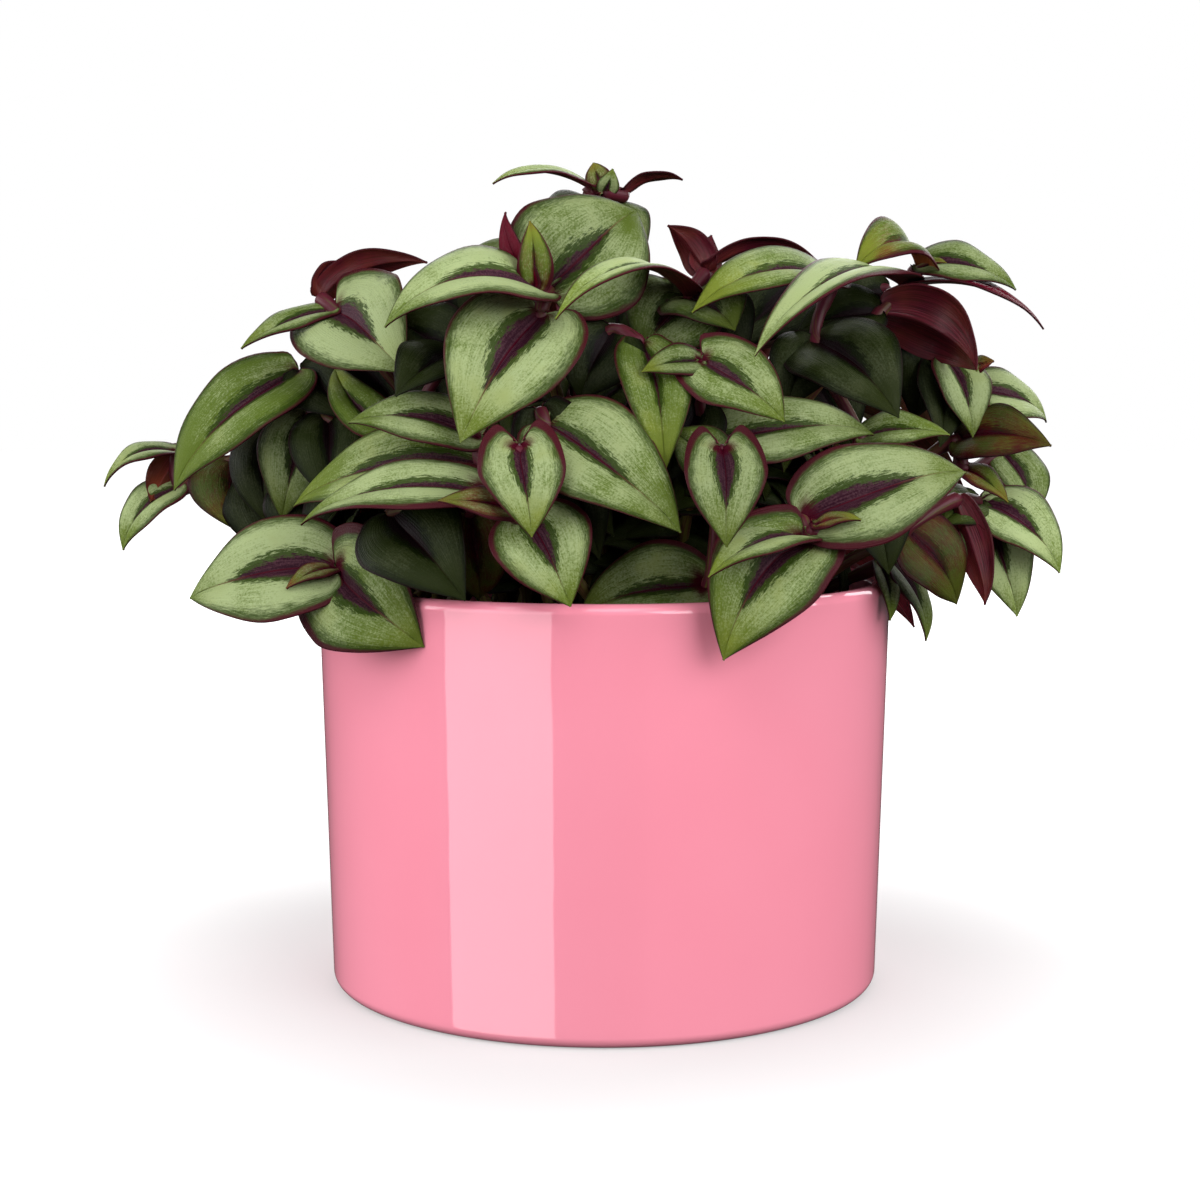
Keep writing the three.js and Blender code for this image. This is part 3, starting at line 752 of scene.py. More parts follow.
@dataclass(frozen=True)
class LeafLook:
    """A leaf's shares of silver, margin, band, yellow green, painted light from behind, red and painted light
    on it.
    """

    silver: float = 0.5
    blush: float = 0.6
    band: float = 0.8
    gold: float = 0.2
    glow: float = 0.2
    ruddy: float = 0.0
    light: float = 1.0

    def varied(self, draw: random.Random) -> "LeafLook":
        """The look with a little chance in it.

        Args:
            draw: Where the chance comes from.

        Returns:
            The varied look.
        """
        silver = self.silver + 0.35 * (draw.random() - 0.5)
        spans = {"blush": (0.8, 1.2), "band": (0.75, 1.2), "gold": (0.4, 1.6), "light": (0.8, 1.08)}
        shares = {name: getattr(self, name) * lerp(*span, draw.random()) for name, span in spans.items()}
        return replace(self, silver=silver, **shares)


LEAF_MARKS = ("seed", "silver", "blush", "band", "gold", "glow", "ruddy", "light")
STEM_MARKS = ("seed", "red", "sheath")


class Look(Enum):
    """The named looks of the plant's leaves."""

    # A look's light share scales the upper face's brightness: painted shade below 1, as on SHADY, DIM and
    # INNER leaves, and painted light above 1. Its glow paints light coming through the underside.
    GROWN = LeafLook()
    PALE = LeafLook(silver=0.8, light=1.08)
    GREEN = LeafLook(silver=0.25, blush=0.5, band=0.6, gold=0.35)
    HEART = LeafLook(silver=0.5, blush=1.35, band=0.95, gold=0.3, glow=0.3, light=0.85)
    EDGED = LeafLook(silver=0.5, blush=1.0, band=0.85, gold=0.3)
    RIM = LeafLook(silver=0.35, blush=1.6, band=0.5, gold=0.4, light=0.8)
    SOFT = LeafLook(silver=0.35, blush=0.55, band=0.45, gold=0.1, light=0.8)
    ROLLED = LeafLook(silver=0.75, blush=1.7, band=0.6, light=1.15)
    SUNNY = LeafLook(silver=0.25, blush=0.45, band=0.45, gold=0.9, glow=0.5)
    OLIVE = LeafLook(silver=0.0, blush=0.8, band=0.6, gold=0.9, glow=0.4, ruddy=0.42, light=0.48)
    DIM = LeafLook(silver=0.3, blush=0.55, band=0.75, light=0.5)
    SHADY = LeafLook(silver=0.12, blush=0.5, band=0.7, gold=0.15, light=0.13)
    INNER = LeafLook(silver=0.1, blush=0.6, band=0.6, light=0.1)
    BUD = LeafLook(silver=0.2, blush=2.1, band=0.6, gold=0.7, glow=0.6, ruddy=0.42)
    RED = LeafLook(silver=0.1, blush=1.5, band=1.0, glow=0.25, ruddy=0.9, light=0.85)
    AMBER = LeafLook(silver=0.2, blush=1.9, band=0.4, gold=0.8, glow=1.0, ruddy=0.4)


@dataclass(frozen=True)
class LeafPlan:
    """A leaf as it is seen: its base and tip as places in the view, its width, and where its face looks."""

    base: tuple[float, float, float]
    tip: tuple[float, float, float]
    wide: float
    face: tuple[float, float]
    look: Look = Look.GROWN
    arch: float = 0.1
    lobe: float = 0.08
    sweep: float = 0.0


@dataclass(frozen=True)
class ShootPlan:
    """A leafy stem that shows from the front: how far round and out its root is, and its leaves in order."""

    name: str
    root: tuple[float, float]
    leaves: tuple[LeafPlan, ...]


FRONT_SHOOTS = (
    ShootPlan("centre_heart", (2, 46), (
        LeafPlan((525, 515, 70), (572, 606, 80), 24, (5, 20), Look.EDGED),
        LeafPlan((515, 514, 76), (438, 500, 82), 9, (-6, 40), Look.BUD),
        LeafPlan((520, 446, 72), (531, 537, 85), 20, (0, 22), Look.HEART, lobe=0.32, arch=0.12),
    )),
    ShootPlan("right_heart", (28, 50), (
        LeafPlan((708, 586, 55), (576, 620, 61), 25, (0, 36), Look.RIM, arch=0.15),
        LeafPlan((720, 470, 66), (670, 430, 64), 14, (-10, 34), Look.DIM),
        LeafPlan((722, 449, 72), (728, 547, 86), 19, (0, 20), Look.HEART, lobe=0.3, arch=0.12),
    )),
    ShootPlan("right_front", (46, 52), (
        LeafPlan((802, 522, 66), (968, 472, 54), 28, (18, 40), Look.EDGED),
        LeafPlan((807, 539, 68), (724, 661, 78), 27, (-2, 12), Look.EDGED, lobe=0.2, sweep=0.12),
        LeafPlan((812, 529, 69), (707, 575, 80), 16, (-20, 62), Look.EDGED),
        LeafPlan((816, 527, 70), (861, 520, 74), 7, (10, 60), Look.BUD),
    )),
    ShootPlan("left_front", (-50, 52), (
        LeafPlan((337, 570, 44), (188, 596, 36), 30, (-24, 32), Look.PALE, lobe=0.12),
        LeafPlan((339, 579, 46), (423, 648, 62), 31, (-22, 12), Look.HEART, lobe=0.26, arch=0.12),
        LeafPlan((341, 573, 47), (286, 588, 52), 8, (-20, 56), Look.BUD),
    )),
    ShootPlan("left_rim", (-30, 52), (
        LeafPlan((392, 514, 50), (465, 600, 60), 27, (-6, 18), Look.SHADY),
        LeafPlan((470, 510, 60), (479, 600, 66), 16, (4, 20), Look.OLIVE),
        LeafPlan((500, 500, 66), (298, 522, 56), 20, (-8, 58), Look.ROLLED, arch=0.13),
    )),
    ShootPlan("mid_left", (-18, 40), (
        LeafPlan((482, 466, 55), (291, 503, 46), 27, (-18, 48), Look.GREEN),
        LeafPlan((480, 440, 54), (348, 420, 52), 18, (-12, 48), arch=0.12),
    )),
    ShootPlan("centre_right", (12, 36), (
        LeafPlan((545, 425, 60), (680, 533, 80), 28, (4, 34), Look.SOFT),
        LeafPlan((540, 410, 58), (600, 560, 66), 20, (0, 20), Look.SHADY),
    )),
    ShootPlan("right_middle", (34, 36), (
        LeafPlan((706, 445, 58), (876, 434, 62), 21, (12, 44), Look.SOFT),
        LeafPlan((700, 404, 53), (668, 482, 60), 17, (-4, 22), Look.SHADY),
        LeafPlan((701, 362, 55), (642, 372, 62), 10, (-10, 30), Look.RIM),
        LeafPlan((707, 360, 56), (784, 422, 74), 21, (10, 30), Look.EDGED, lobe=0.26),
    )),
    ShootPlan("right_low", (62, 46), (
        LeafPlan((858, 480, 34), (890, 574, 44), 20, (20, 20), Look.SHADY),
        LeafPlan((860, 440, 36), (950, 434, 40), 14, (20, 52), Look.GREEN),
        LeafPlan((815, 342, 28), (786, 410, 40), 18, (-6, 24), Look.SHADY),
        LeafPlan((812, 336, 30), (900, 416, 46), 27, (8, 20), Look.SHADY),
        LeafPlan((832, 283, 24), (691, 310, 48), 20, (-6, 50), Look.SUNNY, arch=0.15),
    )),
    ShootPlan("centre_top", (-6, 24), (
        LeafPlan((541, 316, 46), (458, 441, 68), 32, (0, 28), lobe=0.16),
        LeafPlan((545, 296, 44), (383, 326, 58), 23, (-14, 50), Look.PALE, arch=0.22),
        LeafPlan((547, 292, 40), (638, 210, 26), 37, (4, 26), Look.SOFT, lobe=0.12),
        LeafPlan((538, 284, 38), (474, 246, 22), 20, (-18, 50), Look.DIM),
        LeafPlan((536, 290, 45), (529, 221, 46), 9, (14, 10), Look.AMBER),
        LeafPlan((533, 282, 42), (504, 212, 38), 8, (-40, 0), Look.RED),
    )),
    ShootPlan("red", (20, 22), (
        LeafPlan((688, 300, 33), (640, 354, 50), 27, (0, 34), Look.DIM),
        LeafPlan((692, 300, 32), (735, 330, 46), 24, (16, 34), Look.DIM),
        LeafPlan((692, 292, 31), (556, 316, 56), 13, (0, 68), Look.ROLLED, arch=0.18),
        LeafPlan((706, 272, 28), (818, 259, 28), 11, (176, 66), Look.RED, arch=0.16),
        LeafPlan((700, 284, 28), (668, 225, 27), 11, (150, 24), Look.RED),
        LeafPlan((700, 280, 27), (711, 235, 24), 9, (190, 12), Look.RED),
    )),
    ShootPlan("hanging", (8, 20), (
        LeafPlan((612, 330, 44), (580, 400, 52), 22, (-6, 24), Look.SHADY),
        LeafPlan((642, 345, 46), (668, 470, 72), 18, (8, 22), Look.SUNNY),
    )),
    ShootPlan("top", (-4, 8), (
        LeafPlan((600, 210, 6), (642, 262, 16), 18, (16, 48), Look.DIM),
        LeafPlan((597, 200, 6), (540, 232, 16), 20, (-18, 50), Look.DIM),
        LeafPlan((590, 189, 8), (492, 182, 16), 12, (-4, 74), Look.ROLLED, arch=0.13),
        LeafPlan((624, 196, 6), (683, 179, 4), 10, (170, 76), Look.RED, arch=0.14),
        LeafPlan((604, 192, 9), (613, 169, 12), 6, (20, 20), Look.EDGED),
        LeafPlan((600, 190, 9), (593, 163, 11), 7, (-16, 30), Look.BUD),
    )),
    ShootPlan("right_top", (66, 26), (
        LeafPlan((880, 313, 20), (796, 334, 36), 18, (-4, 40), Look.SHADY),
        LeafPlan((892, 308, 20), (979, 371, 32), 20, (196, 36), Look.GREEN, arch=0.24),
        LeafPlan((905, 288, 14), (755, 352, 56), 18, (-18, 58), Look.ROLLED, arch=0.15),
        LeafPlan((908, 281, 12), (1046, 327, 22), 12, (10, 80), Look.RED, arch=0.14),
        LeafPlan((917, 268, 12), (1017, 289, 16), 18, (4, 56), arch=0.14),
        LeafPlan((911, 275, 12), (855, 270, 22), 22, (-24, 44), Look.AMBER, arch=0.38),
        LeafPlan((914, 276, 15), (946, 263, 17), 6, (0, 60), Look.BUD),
    )),
    ShootPlan("right_trail", (80, 44), (
        LeafPlan((926, 336, 8), (914, 420, 22), 16, (14, 20), Look.SHADY),
        LeafPlan((940, 366, 6), (940, 446, 16), 16, (20, 22), Look.SHADY),
        LeafPlan((946, 360, 12), (974, 437, 28), 17, (28, 24), Look.PALE),
        LeafPlan((974, 392, 10), (1048, 422, 10), 17, (12, 46), Look.PALE, arch=0.14),
        LeafPlan((970, 410, 8), (1030, 441, 16), 12, (190, 42), Look.RED),
        LeafPlan((972, 372, 10), (994, 361, 12), 7, (20, 50), Look.BUD),
    )),
    ShootPlan("right_low_trail", (70, 56), (
        LeafPlan((958, 441, 14), (1052, 444, 18), 18, (4, 34), Look.OLIVE, arch=0.12),
        LeafPlan((962, 470, 18), (1008, 502, 26), 9, (20, 40), Look.BUD),
        LeafPlan((1000, 452, 4), (1034, 523, 8), 19, (32, 30), Look.GREEN, arch=0.12),
    )),
    ShootPlan("right_hanging", (58, 58), (
        LeafPlan((905, 530, 34), (958, 604, 46), 22, (30, 22), Look.OLIVE),
        LeafPlan((955, 500, 26), (985, 606, 38), 11, (150, 10), Look.RED),
        LeafPlan((978, 503, 18), (1017, 617, 30), 20, (14, 16), Look.PALE),
        LeafPlan((984, 498, 16), (1060, 573, 14), 21, (24, 30), Look.PALE, sweep=-0.08),
        LeafPlan((978, 494, 20), (940, 525, 30), 16, (0, 42), Look.DIM),
    )),
    ShootPlan("right_rim", (84, 56), (
        LeafPlan((878, 566, 20), (890, 620, 30), 8, (40, 30)),
        LeafPlan((888, 561, 16), (927, 641, 20), 17, (60, 26)),
    )),
    ShootPlan("left_top", (-66, 26), (
        LeafPlan((336, 312, 22), (407, 371, 46), 31, (-6, 22), Look.PALE, lobe=0.28),
        LeafPlan((332, 304, 20), (240, 347, 30), 13, (-20, 62), Look.EDGED, arch=0.06),
        LeafPlan((320, 298, 18), (428, 261, 16), 11, (176, 44), Look.RED, arch=0.2),
        LeafPlan((333, 294, 18), (352, 262, 14), 12, (200, 50), Look.RED),
    )),
    ShootPlan("left_inner", (-40, 30), (
        LeafPlan((460, 356, 40), (388, 322, 28), 20, (-14, 30), Look.SHADY),
        LeafPlan((455, 362, 42), (395, 395, 48), 20, (-10, 40), Look.SHADY),
        LeafPlan((400, 440, 36), (334, 367, 38), 13, (24, 6), Look.GREEN, sweep=-0.12),
    )),
    ShootPlan("big_left", (-74, 44), (
        LeafPlan((328, 418, 20), (336, 506, 34), 20, (-4, 22), Look.SHADY),
        LeafPlan((312, 415, 16), (282, 520, 32), 21, (-12, 22), Look.DIM),
        LeafPlan((270, 430, 10), (268, 526, 24), 19, (-22, 22), Look.SHADY),
        LeafPlan((300, 372, 12), (172, 489, 26), 27, (-16, 44), Look.GREEN),
        LeafPlan((303, 374, 12), (352, 420, 26), 18, (2, 30), Look.SHADY),
    )),
    ShootPlan("far_left", (-86, 48), (
        LeafPlan((236, 460, 2), (238, 531, 14), 24, (-14, 20), Look.OLIVE),
        LeafPlan((180, 488, 0), (122, 550, 8), 16, (-28, 44), arch=0.16),
        LeafPlan((177, 454, -2), (150, 502, 6), 10, (170, 24), Look.BUD),
        LeafPlan((176, 446, -4), (103, 486, 2), 12, (-20, 68), Look.EDGED, arch=0.2),
    )),
)

# Leaves that fill the gaps between the front ones, all darkened with painted shade by their SHADY look.
FILLING_SHOOTS = (
    ShootPlan("inner_left_fill", (-62, 40), (
        LeafPlan((352, 485, 24), (366, 562, 30), 26, (-8, 20), Look.SHADY),
        LeafPlan((310, 474, 18), (330, 562, 26), 26, (-12, 20), Look.SHADY),
        LeafPlan((262, 472, 8), (288, 560, 18), 24, (-20, 20), Look.SHADY),
    )),
    ShootPlan("inner_left_top_fill", (-55, 30), (
        LeafPlan((345, 352, 10), (414, 424, 18), 28, (-6, 24), Look.SHADY),
        LeafPlan((430, 348, 20), (446, 422, 26), 20, (-4, 24), Look.SHADY),
        LeafPlan((438, 284, 8), (466, 340, 12), 18, (-4, 30), Look.SHADY),
    )),
    ShootPlan("inner_right_fill", (60, 24), (
        LeafPlan((700, 300, 16), (737, 372, 20), 22, (4, 24), Look.SHADY),
        LeafPlan((612, 284, 8), (620, 352, 12), 20, (0, 24), Look.SHADY),
        LeafPlan((800, 370, 10), (852, 446, 14), 28, (8, 22), Look.SHADY),
        LeafPlan((800, 286, -8), (733, 347, -4), 24, (-6, 34), Look.SHADY),
        LeafPlan((850, 292, -6), (798, 364, -2), 26, (-6, 30), Look.SHADY),
        LeafPlan((890, 290, -4), (826, 334, 2), 22, (-6, 40), Look.SHADY),
    )),
)


@dataclass(frozen=True)
class Outline:
    """A blade's outline and cross-section, as shares of its length and of half its width."""

    swell: float = 0.5
    taper: float = 1.05
    peak: float = 0.377
    lobe_reach: float = 0.28
    lobe_start: float = 0.02
    rise: float = 0.48
    cup: float = 0.34
    root_half: float = 1.3
    tip_half: float = 0.25

    def half(self, along: float, wide: float) -> float:
        """Half the width of a blade of some width, at a share of its length."""
        least = self.root_half if along < 0.5 else self.tip_half
        return max(along**self.swell * (1 - along)**self.taper / self.peak * wide / 2, least)


@dataclass(frozen=True)
class Relief:
    """A blade's fine form: how much it swells, ripples, hangs at its tip, lifts at its root and swings."""

    swelling: float = 0.07
    ripple: float = 0.075
    ripples: float = 9.0
    phases: float = 6.28
    other_side: float = 1.7
    tip_drop: float = 0.55
    tip_start: float = 0.8
    root_lift: float = 1.6
    root_end: float = 0.07
    swing: float = 0.012
    swings: float = 5.0
    swing_onset: float = 5.0


OUTLINE = Outline()
RELIEF = Relief()
SOLID_ROWS = (0.32, 0.66, 1.0)
SOLID_FEW_ROWS = (0.5, 1.0)
SOLID_LIFT = 0.35
PLAIN_UNDER = 19.0


@dataclass
class Leaf:
    """A leaf in its place."""

    base: Vector
    tip: Vector
    up: Vector
    sway: Vector
    wide: float
    arch: float = 0.1
    lobe: float = 0.08
    sweep: float = 0.0
    plain: bool = True
    look: LeafLook = field(default_factory=LeafLook)
    seed: float = 0.0

    def bent(self, bend: float) -> "Leaf":
        """The leaf with its tip swayed."""
        return replace(self, tip=self.tip + self.sway * bend)

    def axes(self) -> tuple[Vector, Vector, Vector, float]:
        """The leaf's own directions.

        Returns:
            Its forward, sideways and upper directions, and its length.
        """
        ahead = self.tip - self.base
        forward = ahead.normalized()
        side = forward.cross(self.up).normalized()
        return forward, side, side.cross(forward), ahead.length

    def normal(self, along: float, forward: Vector, upper: Vector) -> Vector:
        """Which way the arched blade faces at a share of its length."""
        return (upper - forward * (self.arch * 4 * (1 - 2 * along))).normalized()

    def solid_points(self) -> Iterator[Vector]:
        """The blade's corners in the solid model.

        Yields:
            Each corner past the root.
        """
        forward, side, upper, length = self.axes()
        for along in SOLID_FEW_ROWS if self.plain else SOLID_ROWS:
            half = OUTLINE.half(along, self.wide)
            normal = self.normal(along, forward, upper)
            middle = self.base + forward * (length * along) + upper * (length * self.arch * bow(along))
            for across in (-1.0, 0.0, 1.0):
                beside = side * (half * across + length * self.sweep * bow(along))
                for lift in (SOLID_LIFT, -SOLID_LIFT):
                    lift += half * (OUTLINE.rise * abs(across) - OUTLINE.cup * across * across)
                    yield middle + beside + normal * lift

    def form(self) -> Callable[[float, float], Vector]:
        """The blade's fine surface.

        Returns:
            A function that gives its points.
        """
        forward, side, upper, length = self.axes()
        phase = self.seed * RELIEF.phases

        def point(along: float, across: float) -> Vector:
            """The surface's point.

            Args:
                along: The share of the length.
                across: From -1 at one edge to 1 at the other.

            Returns:
                The point.
            """
            edge, spread = abs(across), across * across
            half = OUTLINE.half(along, self.wide)
            back = self.lobe * spread * max(0.0, 1 - along / OUTLINE.lobe_reach)
            back *= 1 - math.exp(-along / OUTLINE.lobe_start)
            lift = half * (OUTLINE.rise * edge - OUTLINE.cup * spread)
            lift += half * RELIEF.swelling * math.sin(math.pi * edge) * bow(along)
            ripple = math.sin(along * RELIEF.ripples + phase + (RELIEF.other_side if across > 0 else 0.0))
            lift += half * RELIEF.ripple * ripple * spread * bow(along)
            lift -= length * RELIEF.tip_drop * max(0.0, along - RELIEF.tip_start)**2
            lift += RELIEF.root_lift * edge * max(0.0, 1 - along / RELIEF.root_end)
            swing = self.sweep * bow(along) + RELIEF.swing * math.sin(along * RELIEF.swings + phase)
            beside = half * across + length * swing * clamped(along * RELIEF.swing_onset)
            above = upper * (length * self.arch * bow(along))
            return (self.base + forward * (length * (along - back)) + above + side * beside
                    + self.normal(along, forward, upper) * lift)

        return point


@dataclass(frozen=True)
class Mound:
    """The rounded mound that the leaves make, and how the leaves on it look outward."""

    foot: float = 100.0
    height: float = 115.0
    raised: tuple[float, float] = (22.0, 62.0)
    aside: float = 112.0
    back: float = 110.0
    above: float = 100.0

    def level(self, z: float) -> float:
        """How far up the mound a height is, from 0 at its foot to 1."""
        return clamped((z - self.foot) / self.height)

    def usual_facing(self, place: Vector) -> Vector:
        """Where a leaf looks: outward from the plant, and the more upward the higher it is.

        Args:
            place: The leaf's middle.

        Returns:
            The direction.
        """
        outward = Vector((place.x, place.y, 0.0)).normalized()
        raised = math.radians(lerp(*self.raised, self.level(place.z)))
        return outward * math.cos(raised) + UP * math.sin(raised)

    def within(self, tip: Vector) -> Vector:
        """A leaf's tip, kept on the mound.

        Args:
            tip: Where it would be.

        Returns:
            The same place, or one drawn back if it reaches out of the mound.
        """
        level = tip.z - self.foot
        reach = math.sqrt((tip.x / self.aside)**2 + (tip.y / self.back)**2 + (level / self.above)**2)
        return Vector((tip.x / reach, tip.y / reach, self.foot + level / reach)) if reach > 1 else tip


MOUND = Mound()


# ---- Leafy stems -------------------------------------------------------------------------------------


@dataclass
class Shoot:
    """A leafy stem: its root in the soil, and its leaves in their order along it."""

    name: str
    root: Vector
    leaves: list[Leaf]
    optional: bool
    joints: list[Vector] = field(default_factory=list)
    aside: float = 0.0

    radius: float = 1.5
    joint_gap: float = 4.0
    root_depth: float = 9.0
    straight: float = 5.0
    middle_share: float = 0.55
    lean_back: float = 0.12
    past: float = 0.8

    def find_joints(self) -> None:
        """Finds the joints that the leaves grow from. Bases nearer together than the gap share one."""
        for leaf in self.leaves:
            if not self.joints or (leaf.base - self.joints[-1]).length > self.joint_gap:
                self.joints.append(leaf.base)
            leaf.base = self.joints[-1]

    def middle(self, aside: float) -> Vector:
        """Where the stem bows between its root and its first joint.

        Args:
            aside: How far it bows sideways.

        Returns:
            The place.
        """
        first = self.joints[0]
        across = (first - self.root).cross(UP).normalized()
        inward = Vector((first.x, first.y, 0.0)) * self.lean_back
        return self.root.lerp(first, self.middle_share) - inward + across * aside

    def curve(self) -> Spline:
        """The stem's run.

        Returns:
            The curve up out of the soil, through the joints, and a little past the last.
        """
        foot = [Vector((self.root.x, self.root.y, SOIL_LEVEL + z)) for z in (-self.root_depth, self.straight)]
        points = [*foot, self.middle(self.aside), *self.joints]
        last = points.pop()
        return Spline([*points, last + (last - points[-1]).normalized() * self.past])


@dataclass(frozen=True)
class Ring:
    """A ring of stems: how many, how far round, where they root and end, and their leaves."""

    name: str
    count: int
    turned: tuple[float, float]
    root: float
    out: float
    high: float
    leaves: int
    reach: float
    spread: float = 58.0
    droop: tuple[float, float] = (-28.0, -46.0)
    inside: float = math.inf

    turn_play: float = 16.0
    out_play: tuple[float, float] = (0.92, 0.16)
    high_play: tuple[float, float] = (0.97, 0.06)
    reach_play: tuple[float, float] = (0.9, 0.2)
    away_play: float = 24.0
    droop_play: float = 26.0
    arch_up: float = 14.0
    arch_in: float = 4.0
    first_leaf: float = 0.42
    closing: float = 0.45
    wide_share: float = 0.54
    smallest: float = 0.5
    arch: float = 0.13
    lobe: float = 0.08
    sweep: float = 0.16

    def stems(self, draw: Draw) -> list[Shoot]:
        """The ring's stems, one after another."""
        return [self.grow(number, draw) for number in range(self.count)]

    def grow(self, number: int, draw: Draw) -> Shoot:
        """One stem of the ring.

        Args:
            number: Which stem it is, from 0.
            draw: The draw that all the rings share.

        Returns:
            The stem, with its leaves in place.
        """
        turn = lerp(*self.turned, number / (self.count - 1)) + (draw() - 0.5) * self.turn_play
        outward = facing(turn, 0.0)
        out = self.out * (self.out_play[0] + self.out_play[1] * draw())
        root = outward * self.root + UP * SOIL_LEVEL
        end = outward * out + UP * (self.high * (self.high_play[0] + self.high_play[1] * draw()))
        path = Spline([root, root.lerp(end, 0.5) + UP * self.arch_up - outward * self.arch_in, end])
        leaves = []
        for k in range(self.leaves):
            along = k / (self.leaves - 1)
            base = path.at(lerp(self.first_leaf, 1.0, along))
            away = (1 if k % 2 else -1) * self.spread * (1 - self.closing * along)
            away += (draw() - 0.5) * self.away_play
            heading = facing(turn + away, lerp(*self.droop, along) + (draw() - 0.5) * self.droop_play)
            reach = self.reach * lerp(1.0, self.smallest, along**3)
            reach *= self.reach_play[0] + self.reach_play[1] * draw()
            tip = MOUND.within(base + heading * reach)
            past = math.hypot(tip.x, tip.y) / self.inside
            if past > 1:
                tip = Vector((tip.x / past, tip.y / past, tip.z))
            up = MOUND.usual_facing(base.lerp(tip, 0.5))
            sweep = (draw() - 0.5) * self.sweep
            leaves.append(Leaf(base, tip, up, up, reach * self.wide_share, self.arch, self.lobe, sweep))
        return Shoot(f"{self.name}_{number + 1}", root, leaves, optional=True)


BACK_SEED = 41
BACK_RINGS = (
    Ring("back_low", 6, (115, 246), root=56, out=86, high=122, leaves=4, reach=47),
    Ring("back_middle", 5, (110, 250), root=42, out=80, high=152, leaves=4, reach=50),
    Ring("back_high", 3, (124, 236), root=26, out=54, high=180, leaves=4, reach=47),
    Ring("back_top", 2, (160, 215), root=12, out=24, high=196, leaves=4, reach=40),
)

INNER_SEED = 17
INNER_RINGS = (
    Ring("inner_rim", 10, (82, 278), 54, 60, 114, 4, 26, spread=50, droop=(-20, -35), inside=64),
    Ring("inner_left", 7, (256, 300), 44, 66, 126, 4, 26, spread=50, droop=(-5, -35), inside=86),
    Ring("inner_right", 6, (60, 108), 30, 50, 152, 5, 30, spread=60, droop=(-10, -40)),
    Ring("inner_low", 13, (0, 332), 30, 40, 112, 5, 28, spread=70, droop=(12, -8), inside=52),
    Ring("inner_middle", 12, (15, 345), 30, 40, 134, 5, 34, spread=70, droop=(-5, -30)),
    Ring("inner_high", 9, (5, 325), 24, 40, 156, 5, 36, spread=70, droop=(-10, -40)),
    Ring("inner_top", 5, (30, 318), 10, 20, 166, 5, 34, spread=70, droop=(-10, -40)),
)


def front_shoot(plan: ShootPlan) -> Shoot:
    """The stem that a plan describes.

    Args:
        plan: The stem as it is seen.

    Returns:
        The stem, with its leaves in place.
    """
    leaves = []
    for one in plan.leaves:
        tip = VIEW.seen(*one.tip)
        sway = (VIEW.place() - tip).normalized()
        leaves.append(Leaf(VIEW.seen(*one.base), tip, facing(*one.face), sway, one.wide, one.arch, one.lobe,
                           one.sweep, one.wide < PLAIN_UNDER, one.look.value))
    root = facing(plan.root[0], 0.0) * plan.root[1] + UP * SOIL_LEVEL
    return Shoot(plan.name, root, leaves, optional=False)


class SolidModel:
    """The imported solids' corners, to find out which bends and bows the leaves and stems were given there."""

    bends = (0, -3, 3, -6, 6, -9, 9, -12, 12, -16, 16, -20, 20, -25)
    slides = (0, -8, 8, -16, 16)
    near = 0.12
    enough = 4
    stem_radius = 1.6

    def __init__(self, stems: dict[str, bpy.types.Object]) -> None:
        """Keeps the corners of every leafy stem's solid.

        Args:
            stems: The stems' nodes by name.
        """
        corners = [(vert.co / MM, name) for name, node in stems.items() for vert in node.data.vertices]
        self.names = [name for _, name in corners]
        self.tree = kdtree.KDTree(len(corners))
        for index, (place, _) in enumerate(corners):
            self.tree.insert(place, index)
        self.tree.balance()

    def held(self, leaf: Leaf) -> list[str]:
        """The node of each of a leaf's corners that the solids have."""
        found = (self.tree.find(point) for point in leaf.solid_points())
        return [self.names[index] for _, index, distance in found if distance < self.near]

    def settle(self, shoot: Shoot) -> str | None:
        """Gives a stem and its leaves their places in the solids, and drops leaves that aren't there.

        Args:
            shoot: The stem, whose leaves are changed.

        Returns:
            The name of the node that holds it, or None where no leaf was found.
        """
        shoot.find_joints()
        kept, holders = [], Counter()
        for leaf in shoot.leaves:
            tries = [(leaf.bent(bend), self.held(leaf.bent(bend))) for bend in self.bends]
            best, nodes = max(tries, key=lambda one: len(one[1]))
            holders.update(nodes)
            if len(nodes) >= self.enough or not shoot.optional:
                kept.append(best)
        shoot.leaves = kept
        rings = [(self.round_about(shoot.middle(slide)), -abs(slide), slide) for slide in self.slides]
        shoot.aside = float(max(rings)[2])
        return holders.most_common(1)[0][0] if holders else None

    def round_about(self, place: Vector) -> int:
        """How many corners stand just a stem's radius from a place."""
        found = self.tree.find_range(place, self.stem_radius + self.near)
        return sum(distance > self.stem_radius - self.near for *_, distance in found)


